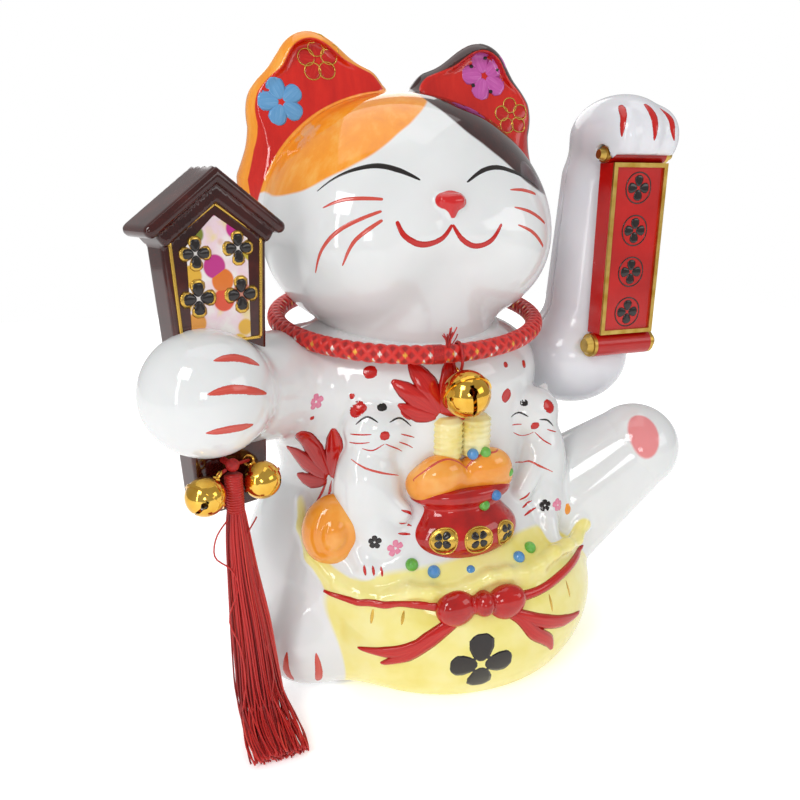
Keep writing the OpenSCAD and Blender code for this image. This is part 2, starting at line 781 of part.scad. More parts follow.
ceramic_body();
signboard();
collar_cord();
collar_binding();
arm_front_shell();
arm_back_shell();
arm_hub();
scroll_panel();
scroll_frame();
scroll_upper_roller();
scroll_lower_roller();
for (k = [0:3]) scroll_knob(k);
pivot_shaft();
pendulum_lever();
counterweight(-1);  // counterweight_1
counterweight(1);  // counterweight_2
pendulum_magnet();
outer_bush();
inner_bush();
mechanism_frame();
coil_bobbin();
coil_winding();
driver_board();
driver_chip();
lead_red();
lead_black();
base_cover();
battery_door();
battery_box();
battery_1();
battery_2();
contact_spring();
contact_button();
contact_bridge();
switch_body();
switch_slider();
collar_bell_thread();
color("gold") collar_bell_pose() bell_half(collar_bell_d, true);  // collar_bell_top
color("gold") collar_bell_pose() bell_half(collar_bell_d, false);  // collar_bell_bottom
color("silver") translate(pellet_at(collar_bell_at, collar_bell_d)) sphere(r = pellet_r(collar_bell_d), $fn = 24);  // collar_bell_pellet
tassel_cord();
tassel_knot();
tassel_neck();
tassel_skirt();
for (side = [-1, 1]) {
    name = side < 0 ? "tassel_bell_left" : "tassel_bell_right";
    c = tassel_bell_at(side);
    tassel_bell_thread(side);
    color("gold") tassel_bell_pose(side) bell_half(tassel_bell_d, true);
    color("gold") tassel_bell_pose(side) bell_half(tassel_bell_d, false);
    color("silver") translate(pellet_at(c, tassel_bell_d)) sphere(r = pellet_r(tassel_bell_d), $fn = 24);
}
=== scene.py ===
import json
import math
import bpy
import numpy as np
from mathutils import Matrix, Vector


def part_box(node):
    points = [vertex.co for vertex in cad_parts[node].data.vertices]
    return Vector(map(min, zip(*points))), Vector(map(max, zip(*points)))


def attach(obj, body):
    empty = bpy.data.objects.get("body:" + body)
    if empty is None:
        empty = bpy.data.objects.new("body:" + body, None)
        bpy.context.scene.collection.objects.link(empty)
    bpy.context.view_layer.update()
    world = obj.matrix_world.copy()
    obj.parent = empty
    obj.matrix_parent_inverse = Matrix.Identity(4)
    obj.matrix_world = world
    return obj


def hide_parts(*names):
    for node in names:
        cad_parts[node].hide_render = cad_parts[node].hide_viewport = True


# Beckoning cat figurine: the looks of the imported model. Shapes are worked out in millimetres, in the model's
# own frame, and put into their meshes in metres. The cat faces -Y, +X is the side of its waving arm.

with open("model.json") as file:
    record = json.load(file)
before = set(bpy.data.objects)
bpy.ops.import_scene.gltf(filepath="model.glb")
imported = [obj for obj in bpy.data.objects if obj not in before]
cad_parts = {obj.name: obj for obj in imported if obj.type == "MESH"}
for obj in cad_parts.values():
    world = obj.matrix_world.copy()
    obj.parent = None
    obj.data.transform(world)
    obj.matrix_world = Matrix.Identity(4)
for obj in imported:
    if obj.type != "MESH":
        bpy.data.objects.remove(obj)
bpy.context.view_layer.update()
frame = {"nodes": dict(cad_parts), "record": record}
NODES = frame["nodes"]
MM = 0.001
FINE = 1.0
X_WAY, Z_WAY = np.array([1.0, 0, 0]), np.array([0, 0, 1.0])


def box_of(node):
    """Lowest and highest corner of a CAD node, in millimetres."""
    low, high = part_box(node)
    return np.array(low) / MM, np.array(high) / MM


# ---- Camera and lights ----

VIEW_AZIMUTH, VIEW_PITCH, VIEW_DISTANCE = -20.0, 16.6, 315.0
VIEW_TARGET = (-4.5, 0.0, 110.0)
SENSOR, LENS, NEAREST = 36.0, 31.635, 0.01

# Rectangular soft lights, in metres and watts: name, place, height on the cat that it is aimed at, size, power
LIGHTS = (("key_light", (-0.62, -0.55, 0.85), 0.12, (0.34, 0.34), 2.9),
          ("fill_light", (0.85, -0.75, 0.50), 0.12, (0.55, 0.40), 1.3),
          ("top_light", (0.05, 0.10, 1.15), 0.12, (0.9, 0.9), 2.3),
          ("front_light", (-0.25, -1.10, 0.32), 0.14, (0.20, 0.20), 0.8),
          ("strip_light", (-0.80, -0.62, 0.42), 0.14, (0.07, 0.75), 1.2),
          ("back_light", (0.1, 0.95, 0.7), 0.12, (0.8, 0.5), 1.8))


def place_camera():
    """Camera on a sphere about the target: azimuth 0 looks along +Y, and the pitch looks down."""
    a, p = math.radians(VIEW_AZIMUTH), math.radians(VIEW_PITCH)
    back = Vector((math.sin(a) * math.cos(p), -math.cos(a) * math.cos(p), math.sin(p)))
    camera = bpy.data.objects.new("camera", bpy.data.cameras.new("camera"))
    camera.data.sensor_width, camera.data.lens, camera.data.clip_start = SENSOR, LENS, NEAREST
    camera.location = (Vector(VIEW_TARGET) + back * VIEW_DISTANCE) * MM
    camera.rotation_euler = (math.radians(90.0 - VIEW_PITCH), 0.0, a)
    bpy.context.scene.collection.objects.link(camera)
    bpy.context.scene.camera = camera


place_camera()
bpy.context.scene.view_settings.view_transform = "Standard"
for name, place, aim_height, size, watts in LIGHTS:
    lamp = bpy.data.objects.new(name, bpy.data.lights.new(name, "AREA"))
    lamp.data.shape, lamp.data.energy = "RECTANGLE", watts
    lamp.data.size, lamp.data.size_y = size
    lamp.location = place
    lamp.rotation_euler = (Vector((0, 0, aim_height)) - Vector(place)).to_track_quat("-Z", "Y").to_euler()
    bpy.context.scene.collection.objects.link(lamp)


# ---- Colours and materials ----


def linear(hexa):
    """sRGB hex colour to the linear values that a shader takes."""
    rgb = [int(hexa[i:i + 2], 16) / 255 for i in (1, 3, 5)]
    return [c / 12.92 if c <= 0.04045 else ((c + 0.055) / 1.055) ** 2.4 for c in rgb] + [1.0]


def fill(made, **settings):
    """Sets up a node. A setting is an input, by its name with _ for a space or by its number as i0 or i1, and
    takes a value, a hex colour or another node's output. Or it is a property, or stops: a colour ramp's
    (place, hex) pairs."""
    for key, value in settings.items():
        if key == "stops":
            line = made.color_ramp.elements
            while len(line) < len(value):
                line.new(0.5)
            for element, (place, colour) in zip(line, value):
                element.position, element.color = place, linear(colour)
        elif key[0].isupper() or key[1:].isdigit():
            socket = made.inputs[int(key[1:]) if key[1:].isdigit() else key.replace("_", " ")]
            if isinstance(value, bpy.types.NodeSocket):
                made.id_data.links.new(value, socket)
            else:
                socket.default_value = linear(value) if isinstance(value, str) else value
        else:
            setattr(made, key, value)


def node(tree, kind, out=0, **settings):
    """Adds a node with its settings and links, and gives one of its outputs, by number or name."""
    made = tree.nodes.new("ShaderNode" + kind)
    fill(made, **settings)
    return made.outputs[out]


def material(name):
    """New material with a Principled shader. Gives the material, its tree and the shader."""
    made = bpy.data.materials.new(name)
    made.use_nodes = True
    return made, made.node_tree, made.node_tree.nodes["Principled BSDF"]


def where(tree):
    """Object coordinates in millimetres. An object sits at the origin, so they are the model's own."""
    return node(tree, "VectorMath", operation="SCALE", i0=node(tree, "TexCoord", "Object"), Scale=1 / MM)


def clouded(stops, scale, detail=3.0, rough=0.5):
    """A colour that drifts through the stops in clouds 1 / scale mm across: noise put through a ramp."""
    def colour(tree, place):
        """The cloud at a place."""
        drift = node(tree, "TexNoise", Scale=scale, Detail=detail, Roughness=rough, Vector=place)
        return node(tree, "ValToRGB", stops=stops, Fac=drift)
    return colour


def over(tree, under, colour, zone, start, end):
    """A colour painted over another where zone is above end, its edge a smooth step from start to end."""
    amount = node(tree, "MapRange", interpolation_type="SMOOTHSTEP", From_Min=start, From_Max=end, Value=zone)
    return node(tree, "Mix", 2, data_type="RGBA", i0=amount, i6=under, i7=colour)


# ---- Meshes ----


def piece(name, points, faces, finish, body, replaced=(), smooth=True, values=None, normals=None):
    """New piece from points in millimetres and lists of faces. It rides on a body and may replace CAD nodes.
    values are floats that its vertices carry for its finish."""
    mesh = bpy.data.meshes.new(name)
    mesh.from_pydata((np.asarray(points, float) * MM).tolist(), [], faces)
    mesh.validate()
    mesh.update()
    if smooth:
        mesh.shade_smooth()
    for key, data in (values or {}).items():
        mesh.attributes.new(key, "FLOAT", "POINT").data.foreach_set("value", np.asarray(data, np.float32).ravel())
    if normals is not None:
        mesh.normals_split_custom_set_from_vertices(np.asarray(normals, float).tolist())
    made = bpy.data.objects.new(name, mesh)
    bpy.context.scene.collection.objects.link(made)
    mesh.materials.append(finish)
    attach(made, body)
    if replaced:
        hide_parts(*replaced)
    return made


def sheet_faces(rows, columns, closed_rows=False):
    """Quads of a grid of closed rings, rows x columns points. closed_rows joins the last ring to the first."""
    i = np.arange(rows if closed_rows else rows - 1)[:, None]
    j = np.arange(columns)[None, :]
    i2, j2 = (i + 1) % rows, (j + 1) % columns
    return np.stack([i * columns + j, i * columns + j2, i2 * columns + j2, i2 * columns + j], -1).reshape(-1, 4)


def volume(points, faces):
    """Signed volume of a closed mesh: the sum of the tetrahedra from the origin to the faces' triangles."""
    quads = np.array([f if len(f) == 4 else f + f[-1:] for f in faces])
    a, b, c, d = (points[quads[:, k]] for k in range(4))
    return np.einsum("ij,ij->i", a, np.cross(b, c) + np.cross(c, d)).sum() / 6


def solid_grid(grid):
    """Closed rings (rows, columns, 3) as points and faces that point outwards, each end closed by a fan."""
    rows, columns = grid.shape[:2]
    n = rows * columns
    points = np.concatenate([grid.reshape(-1, 3), [grid[0].mean(0), grid[-1].mean(0)]])
    first = np.arange(columns)
    last = first + n - columns
    faces = sheet_faces(rows, columns).tolist()
    faces += np.stack([first, np.full(columns, n), np.roll(first, -1)], 1).tolist()
    faces += np.stack([np.roll(last, -1), np.full(columns, n + 1), last], 1).tolist()
    if volume(points, faces) < 0:
        faces = [f[::-1] for f in faces]
    return points, faces


def gather(solids):
    """Several (points, faces) solids as one."""
    points, faces, start = [], [], 0
    for p, f in solids:
        points.append(p)
        faces += [[v + start for v in face] for face in f]
        start += len(p)
    return np.concatenate(points), faces


def unit(v):
    """Vectors divided by their lengths."""
    return v / np.maximum(np.linalg.norm(v, axis=-1, keepdims=True), 1e-9)


def smooth_path(points, count):
    """Catmull-Rom curve through the points, at count even steps of the parameter."""
    p = np.asarray(points, float)
    n = len(p)
    t = np.arange(count) * (n - 1) / (count - 1)
    k = np.minimum(t.astype(int), n - 2)
    u = (t - k)[:, None]
    a, b, c, d = (p[np.clip(k + i, 0, n - 1)] for i in (-1, 0, 1, 2))
    return 0.5 * (2 * b + (c - a) * u + (2 * a - 5 * b + 4 * c - d) * u ** 2 + (3 * b - a - 3 * c + d) * u ** 3)


def frames(path, up):
    """Side and upward directions along a closed path, from a direction that the path never follows."""
    t = unit(np.roll(path, -1, 0) - np.roll(path, 1, 0))
    side = unit(np.cross(t, np.broadcast_to(np.asarray(up, float), t.shape)))
    return side, np.cross(side, t)


def turned(r, z, sides):
    """Profile of radii r at heights z, turned about Z: rings of points."""
    a = np.linspace(0, 2 * np.pi, sides, endpoint=False)
    r, z = r[:, None], z[:, None]
    return np.stack([r * np.cos(a), r * np.sin(a), z + 0 * a], -1)


# ---- Skins of distance fields ----


def slope(field, p, e=0.2):
    """Gradient of a field by central differences."""
    rows = []
    for k in range(3):
        ahead, behind = p.copy(), p.copy()
        ahead[:, k] += e
        behind[:, k] -= e
        rows.append(field(list(ahead.T)) - field(list(behind.T)))
    return np.stack(rows, 1) / (2 * e)


def settled(field, points, rounds=4):
    """Points moved along the slope until the field there is 0, at most 6 mm a round. Also gives the outward
    directions."""
    p = np.array(points, float)
    for _ in range(rounds):
        g = slope(field, p)
        d = field(list(p.T))
        p -= g * (d / np.maximum((g ** 2).sum(1), 0.05))[:, None].clip(-6, 6)
    return p, unit(slope(field, p))


def skin(field, low, high, size, name, finish, body, values=None, replaced=()):
    """Closed quad skin of field = 0. A rectangular lattice is laid over the shape; each lattice cell that the
    surface crosses gets one vertex, at the mean of the crossings on its edges, and each crossed edge one
    quad. The vertices are then settled on the surface and take its slope as their normals. values are
    functions of the points that give floats."""
    axes = [np.arange(a, b + size, size, dtype=np.float32) for a, b in zip(low, high)]
    open_grid = [axes[0][:, None, None], axes[1][None, :, None], axes[2][None, None, :]]
    d = np.broadcast_to(field(open_grid), [len(a) for a in axes])
    inside = d < 0
    quads, spots = [], []
    for axis in range(3):
        u, v = (axis + 1) % 3, (axis + 2) % 3
        lower, upper = [slice(None)] * 3, [slice(None)] * 3
        lower[axis], upper[axis] = slice(0, -1), slice(1, None)
        i = np.argwhere(inside[tuple(lower)] != inside[tuple(upper)])
        j = i.copy()
        j[:, axis] += 1
        d0, d1 = d[tuple(i.T)], d[tuple(j.T)]
        crossing = np.stack([axes[k][i[:, k]] for k in range(3)], 1).astype(float)
        crossing[:, axis] += size * d0 / (d0 - d1)
        corners = []
        for a, b in ((0, 0), (1, 0), (1, 1), (0, 1)):
            cell = i.copy()
            cell[:, u] -= a
            cell[:, v] -= b
            corners.append(np.ravel_multi_index(tuple(cell.T), d.shape))
        quad = np.stack(corners, 1)
        quads.append(np.where((d0 < 0)[:, None], quad, quad[:, ::-1]))
        spots.append(crossing)
    quads, spots = np.concatenate(quads), np.concatenate(spots)
    cells, numbers = np.unique(quads.ravel(), return_inverse=True)
    numbers = numbers.reshape(quads.shape)
    counts = np.bincount(numbers.ravel(), minlength=len(cells))
    sums = [np.bincount(numbers.ravel(), np.repeat(spots[:, k], 4), len(cells)) for k in range(3)]
    points, normals = settled(field, np.stack(sums, 1) / counts[:, None], rounds=3)
    data = {key: f(list(points.T)) for key, f in (values or {}).items()}
    return piece(name, points, numbers.tolist(), finish, body, replaced, values=data, normals=normals)


# A film of paint: points across its top, and how deep its rim and its underside are sunk, in millimetres
FILM_POINTS, SUNK_RIM, UNDERSIDE = 7, 0.03, 0.25


def brush(strokes, field, lift):
    """Films of paint laid on a surface. Each stroke is (points, widths): a curve through the points, settled
    on the field, with a lens-shaped section as wide as the widths say and as high as lift. Gives points,
    faces and the floats along (0 to 1) and across (-1 to 1)."""
    grids, solids = [], []
    s = np.linspace(-1, 1, FILM_POINTS)
    for points, widths in strokes:
        points = np.asarray(points, float)
        length = np.linalg.norm(np.diff(points, axis=0), axis=1).sum()
        count = int(np.clip(length / 0.7, 9, 60))
        path = smooth_path(points, count)
        w = np.interp(np.linspace(0, 1, count), np.linspace(0, 1, len(widths)), widths)
        grids.append((path, w, count))
    centre, normal = settled(field, np.concatenate([g[0] for g in grids]), rounds=3)
    flat, spans, start = [], [], 0
    for path, w, count in grids:
        c, n = centre[start:start + count], normal[start:start + count]
        start += count
        across = unit(np.cross(unit(np.gradient(c, axis=0)), n))
        flat.append((c[:, None] + (s[None, :, None] * w[:, None, None] / 2) * across[:, None]).reshape(-1, 3))
        spans.append(count)
    place, normal = settled(field, np.concatenate(flat), rounds=4)
    start, along, sideways = 0, [], []
    for count in spans:
        size = count * FILM_POINTS
        p = place[start:start + size].reshape(count, FILM_POINTS, 3)
        n = normal[start:start + size].reshape(count, FILM_POINTS, 3)
        start += size
        u = np.linspace(0, 1, count)
        ends = np.clip(np.minimum(u, 1 - u) * 12 + 0.25, 0, 1)[:, None]
        crown = lift * (1 - s[None, :] ** 2) ** 0.5 * ends - SUNK_RIM
        top = p + n * crown[..., None]
        under = (p - n * UNDERSIDE)[:, -2:0:-1]
        solids.append(solid_grid(np.concatenate([top, under], 1)))
        ring_s = np.concatenate([s, s[-2:0:-1]])
        along.append(np.concatenate([np.repeat(u, len(ring_s)), [0, 1]]))
        sideways.append(np.concatenate([np.tile(ring_s, count), [0, 0]]))
    points, faces = gather(solids)
    return points, faces, {"along": np.concatenate(along), "across": np.concatenate(sideways)}


def paint(name, strokes, field, finish, body="body", lift=0.1):
    """New piece of brushed strokes on a field."""
    points, faces, values = brush(strokes, field, lift)
    return piece(name, points, faces, finish, body, values=values)


def round_widths(r):
    """Widths that make a round spot of radius r out of a stroke that is 2 r long."""
    t = np.linspace(-1, 1, 9)
    return 2 * r * np.sqrt(np.maximum(1 - t ** 2, 0.02))


def spot(centre, r, along=X_WAY):
    """Stroke that makes a round spot."""
    c, a = np.asarray(centre, float), unit(np.asarray(along, float)) * r
    return [c - a, c, c + a], round_widths(r)


def circle(centre, r, width, count=13):
    """Stroke of one width round the centre, in X and Z, through count points at even angles."""
    a = np.linspace(0, 2 * np.pi, count)
    x, y, z = centre
    return np.stack([x + r * np.cos(a), np.full(count, float(y)), z + r * np.sin(a)], 1), [width, width]


def blossom(centre, r, petals=5, turn=0.0, right=X_WAY, up=Z_WAY):
    """Flower: one leaf-shaped stroke for each petal, round the centre, in the plane of right and up."""
    made, c = [], np.asarray(centre, float)
    for k in range(petals):
        a = turn + 2 * math.pi * k / petals + math.pi / 2
        out = np.cos(a) * right + np.sin(a) * up
        made.append(([c + out * r * 0.12, c + out * r * 0.55, c + out * r],
                     [0.15 * r, 0.62 * r, 0.86 * r, 0.86 * r, 0.35 * r]))
    return made


def leaf(a, b, width, bend=None):
    """Pointed stroke from a to b, widest in the middle, bent through a third point if one is given."""
    a, b = np.asarray(a, float), np.asarray(b, float)
    m = (a + b) / 2 if bend is None else np.asarray(bend, float)
    return [a, m, b], [0.15 * width, 0.75 * width, width, 0.78 * width, 0.34 * width]
# ---- Shapes as distance fields ---- p is a list of the x, y and z arrays, in millimetres. Each shape gives
# the distance to its surface, less than 0 inside.


def egg(p, c, r):
    """Ellipsoid of half-sizes r about c: the stretched sphere's distance divided by how steeply it grows."""
    q = [(a - m) / s for a, m, s in zip(p, c, r)]
    k0 = np.sqrt(q[0] ** 2 + q[1] ** 2 + q[2] ** 2)
    k1 = np.sqrt((q[0] / r[0]) ** 2 + (q[1] / r[1]) ** 2 + (q[2] / r[2]) ** 2)
    return k0 * (k0 - 1) / np.maximum(k1, 1e-6)


def limb(p, a, b, ra, rb=None, flat=1.0):
    """Round bar from a to b: distance to the line between them, less a radius that goes from ra to rb. flat
    squeezes it in Y."""
    rb = ra if rb is None else rb
    q = [p[0] - a[0], (p[1] - a[1]) / flat, p[2] - a[2]]
    d = [b[0] - a[0], (b[1] - a[1]) / flat, b[2] - a[2]]
    t = np.clip((q[0] * d[0] + q[1] * d[1] + q[2] * d[2]) / (d[0] ** 2 + d[1] ** 2 + d[2] ** 2), 0, 1)
    away = np.sqrt((q[0] - t * d[0]) ** 2 + (q[1] - t * d[1]) ** 2 + (q[2] - t * d[2]) ** 2)
    return (away - ra - (rb - ra) * t) * flat


def drum(p, c, a, b, h, r):
    """Oval drum with rounded edges of radius r: half-width a, half-depth b, half-height h."""
    rho = np.sqrt(((p[0] - c[0]) / a) ** 2 + ((p[1] - c[1]) / b) ** 2)
    u = (rho - 1) * b + r
    v = np.abs(p[2] - c[2]) - h + r
    return np.sqrt(np.maximum(u, 0) ** 2 + np.maximum(v, 0) ** 2) + np.minimum(np.maximum(u, v), 0) - r


def join(a, b, k):
    """Union with a fillet: the nearer of two distances, rounded over a band k wide."""
    h = np.clip(0.5 + 0.5 * (b - a) / k, 0, 1)
    return b + (a - b) * h - k * h * (1 - h)


def cut(a, b, k):
    """a with b taken away, the edge rounded over a band k wide."""
    return -join(-a, b, k)


def rope_of(p, points, r, k):
    """Round bars joined end to end along the points, with fillets over k."""
    d = limb(p, points[0], points[1], r)
    for a, b in zip(points[1:-1], points[2:]):
        d = join(d, limb(p, a, b, r), k)
    return d


# ---- The cat's own shapes ----

PIVOT, SOCKET_R = (84.0, 2.0, 124.0), 26
PAW = (-91.0, -48.0, 134.5)


def skull(p):
    """Head without the ears: a broad oval with two full cheeks, a slight muzzle and a nose."""
    head = egg(p, (0, 6, 191), (58, 46, 47))
    cheeks = join(egg(p, (-26, 0, 180), (33, 41, 33)), egg(p, (26, 0, 180), (33, 41, 33)), 12)
    head = join(head, cheeks, 14)
    muzzle = join(egg(p, (-9, -33, 185), (13, 9, 8)), egg(p, (9, -33, 185), (13, 9, 8)), 4)
    head = join(head, muzzle, 7)
    nose = limb(p, (-3, -41, 196.3), (3, -41, 196.3), 2.6)
    nose = join(nose, limb(p, (0, -41, 195.5), (0, -41.6, 192.2), 1.8), 3)
    return join(head, nose, 2)


def ear(p, side):
    """Round-tipped ear, full on its outer side and sloping to the crown on its inner side: bars between four
    round ends."""
    root, tip = (side * 36.5, 19, 206), (side * 37, 16, 246.5)
    outer, inner = (side * 45, 17, 230), (side * 18.5, 17, 236)
    shape = join(limb(p, root, tip, 31, 10.2, 0.62), limb(p, outer, tip, 16, 10, 0.62), 5)
    shape = join(shape, limb(p, root, outer, 30, 16, 0.62), 5)
    return join(shape, limb(p, inner, tip, 13.2, 9.8, 0.62), 6)


def ear_front(p, side):
    """The same ear seen from the front, as a flat outline in X and Z."""
    flat = [p[0], 0 * p[0], p[2]]
    root, tip, outer, inner = ((side * x, 0, z) for x, z in ((36.5, 206), (37, 246.5), (45, 230), (18.5, 236)))
    shape = join(limb(flat, root, tip, 31, 10.2), limb(flat, outer, tip, 16, 10), 5)
    shape = join(shape, limb(flat, root, outer, 30, 16), 5)
    return join(shape, limb(flat, inner, tip, 13.2, 9.8), 6)


def ear_hollow(p, side, bare):
    """The scooped front of an ear: inside the outline drawn in by its rim, before a sloping floor, and clear
    of the skull."""
    floor = p[1] - (9.5 + (p[2] - 230) * 0.2)
    scoop = -join(-ear_front(p, side) - 2.8, -floor, 2.5)
    return -join(-scoop, bare - 0.8, 1.2)


def neck(p):
    """Thick upright neck."""
    return limb(p, (0, 5, 135), (0, 5, 165), 38)


def head(p):
    """Skull with two round-tipped ears, each hollowed at the front down to the forehead, and the neck."""
    bare = skull(p)
    shape = join(join(bare, ear(p, -1), 7), ear(p, 1), 7)
    for side in (-1, 1):
        shape = cut(shape, ear_hollow(p, side, bare), 1.2)
    return join(shape, neck(p), 6)


def bag(p):
    """Treasure bag: a plump oval with a bulge on the cat's right. Its gathered rim is the rope RIM."""
    return join(egg(p, (14, -15, 25), (67, 58, 49)), egg(p, (-16, -10, 36), (47, 47, 42)), 10)


RIM = [(-53, -17, 76), (-55, -25, 68), (-54, -34, 60), (-47, -43, 51.5), (-39, -50, 47.5), (-31, -55, 47),
       (-22, -59, 51),
       (-14, -61.5, 50), (-6, -62.5, 48), (2, -63.5, 50), (10, -64, 53.5), (18, -63.5, 53), (26, -62.5, 51),
       (35, -60, 52), (44, -57, 54.5), (53, -53, 54), (60, -49, 53.5), (66, -44, 57), (70, -37, 62),
       (71, -30, 68)]


def small_cats(p):
    """Two small cats over the bag's rim: round heads, pointed ears, plump bodies, arms to the pot and a foot."""
    one = egg(p, (-25.5, -34.5, 110.5), (14.5, 10, 11.5))
    one = join(one, egg(p, (-31, -35, 84), (14, 12, 24)), 4)
    one = join(one, egg(p, (-27, -40, 66), (12, 9.5, 13)), 5)
    one = join(one, limb(p, (-34, -40, 92), (-20.5, -44, 77.5), 5.6, 4.6), 2)
    one = join(one, limb(p, (-36, -41, 62), (-35, -45.5, 57.5), 6, 4.5), 2.5)
    two = egg(p, (45.5, -27, 107), (14, 10, 11.5))
    two = join(two, egg(p, (51, -27, 82), (13, 13, 24)), 4)
    two = join(two, egg(p, (49, -33, 66), (12, 11, 13)), 5)
    two = join(two, limb(p, (51, -33, 92), (37, -39, 76), 5.4, 4.4), 2)
    two = join(two, limb(p, (48, -43, 62), (47.5, -47.5, 56.5), 5, 4), 2.5)
    for a, b in (((-33.2, -33, 117), (-34.6, -33, 122)), ((-17.6, -34.5, 117), (-15.8, -34.5, 122)),
                 ((34.6, -29, 114.5), (32.2, -30, 119.5)), ((52, -25, 112), (54.6, -24, 117))):
        tip = limb(p, a, b, 4.4, 1.7)
        if a[0] < 0:
            one = join(one, tip, 2)
        else:
            two = join(two, tip, 2)
    return np.minimum(one, two)


def shoulders(p):
    """Rounded drum under the collar."""
    return drum(p, (0, 4, 110), 60, 47, 37, 24)


def haunches(p):
    """Wide oval of the seated body."""
    return egg(p, (2, 4, 50), (75, 60, 46))


def folded_leg(p):
    """Foot that stands in front."""
    return limb(p, (-52, -14, 22), (-56, -26, 20), 20, 21)


def raised_leg(p):
    """Leg that sticks out, with the sole at its end."""
    return limb(p, (60, -10, 45), (99, -32, 86), 32, 20)


def torso(p):
    """Body under the collar: shoulders, haunches, legs, right arm and paw, the other arm's socket, bag, cats."""
    t = join(shoulders(p), haunches(p), 14)
    t = join(t, drum(p, (1, -1, 26), 74, 59, 26, 14), 14)
    t = join(t, limb(p, (-50, 2, 122), (-83, -34, 131), 23, 20), 10)
    t = join(t, egg(p, PAW, (22.5, 21, 22)), 5)
    t = join(t, folded_leg(p), 8)
    t = join(t, raised_leg(p), 12)
    t = cut(t, limb(p, (110, *PIVOT[1:]), (76, *PIVOT[1:]), SOCKET_R), 3)
    t = join(t, bag(p), 2.5)
    t = join(t, small_cats(p), 2.5)
    return join(t, rope_of(p, RIM, 2.6, 2), 3.5)


def sack_gap(p):
    """How much nearer the bag is than the rest of the figure: above 0 on the bag's own skin."""
    rest = join(shoulders(p), folded_leg(p), 8)
    rest = join(join(rest, raised_leg(p), 12), haunches(p), 14)
    sack = np.minimum(bag(p), rope_of(p, RIM, 2.6, 2))
    return np.minimum(rest, small_cats(p)) - sack


# ---- Glazes and paints ----


def porcelain(name, colour, rough=0.07, coat=0.3):
    """Glazed porcelain: fired glass over clay, wet-looking and even, with the faint roll that glaze has.
    Rougher and with less coat, it is smooth moulded plastic."""
    made, tree, shader = material(name)
    place = where(tree)
    roll = node(tree, "TexNoise", Scale=0.045, Detail=2.0, Vector=place)
    fill(shader, Base_Color=colour(tree, place), Roughness=rough, IOR=1.5, Coat_Weight=coat, Coat_Roughness=0.03,
         Subsurface_Weight=0.06, Subsurface_Scale=0.003,
         Normal=node(tree, "Bump", Strength=0.35, Distance=0.35 * MM, Height=roll))
    return made


def head_colour(tree, place):
    """White, with an orange patch over the left ear and a dark brown one over the right. Each patch ends on a
    plane through the brow, wobbling as a brushed edge does; peach and darker streaks run up the ears. The
    hollows are red."""
    drift = node(tree, "TexNoise", Scale=0.05, Detail=1.0, Vector=place)
    wobble = node(tree, "Math", operation="MULTIPLY_ADD", i0=drift, i1=2.4, i2=-1.2)
    stretched = node(tree, "VectorMath", operation="MULTIPLY", i0=place, i1=(0.16, 0.16, 0.03))
    streak = node(tree, "TexNoise", Scale=1.0, Detail=4.0, Roughness=0.6, Vector=stretched)
    colour = clay_white(tree, place)
    for direction, height, stops in (
            ((-0.513, -0.186, 0.838), 197.2, [(0.25, "#f08f22"), (0.5, "#f99c26"), (0.7, "#fcb04a"),
                                              (0.9, "#fdc57a")]),
            ((0.522, -0.294, 0.801), 191.3, [(0.3, "#240808"), (0.6, "#3a100c"), (0.85, "#5c261a")])):
        above = node(tree, "VectorMath", "Value", operation="DOT_PRODUCT", i0=place, i1=direction)
        above = node(tree, "Math", operation="SUBTRACT", i0=above, i1=height)
        above = node(tree, "Math", operation="ADD", i0=above, i1=wobble)
        colour = over(tree, colour, node(tree, "ValToRGB", stops=stops, Fac=streak), above, -0.3, 0.5)
    nose, hollow = (node(tree, "Attribute", "Fac", attribute_name=zone) for zone in ("nose_zone", "ear_zone"))
    red = node(tree, "ValToRGB", stops=[(0.3, "#c4140a"), (0.6, "#d92112"), (0.9, "#e83c28")], Fac=streak)
    return over(tree, over(tree, colour, "#cf1d1f", nose, -0.15, 0.25), red, hollow, 0.0, 0.5)


def body_colour(tree, place):
    """White with a pink sole, and the treasure bag in pale yellow that drifts darker and lighter."""
    pad, sack = (node(tree, "Attribute", "Fac", attribute_name=zone) for zone in ("pad_zone", "bag_zone"))
    yellow = clouded([(0.25, "#e9da6a"), (0.5, "#f2e68c"), (0.8, "#f7efac")], 0.06)(tree, place)
    return over(tree, over(tree, clay_white(tree, place), "#e88f90", pad, -0.5, 0.8), yellow, sack, -0.3, 1.2)


def ear_zone(p):
    """Above 0 in the painted hollows: inside both the outline and the scoop, and off the brow."""
    bare = skull(p)
    zone = [np.minimum(np.minimum(-ear_front(p, s) - 1.7, bare - 1.6),
                       14.0 + (p[2] - 235) * 0.1 - p[1]) for s in (-1, 1)]
    return np.maximum(*zone)


def nose_zone(p):
    """Above 0 on the red nose: a rounded triangle, wide at the top."""
    top = limb(p, (-3.4, -43, 197.0), (4.6, -43, 197.0), 3.4)
    return -join(top, limb(p, (0.6, -43, 197.0), (0.6, -43.5, 191.6), 4.6, 1.7), 2)


def pad_zone(p):
    """Above 0 on the pink sole of the raised foot."""
    return -egg(p, (92.6, -46.5, 97.6), (6.4, 9.0, 11.6))


# Cool white clay under clear glaze, with a slightly greyer cloud in it
clay_white = clouded([(0.3, "#dfe1e1"), (0.7, "#eaebeb")], 0.03)
white_glaze = porcelain("glazed_porcelain_white", clay_white)
head_glaze = porcelain("glazed_porcelain_painted_head", head_colour)
body_glaze = porcelain("glazed_porcelain_painted_body", body_colour)

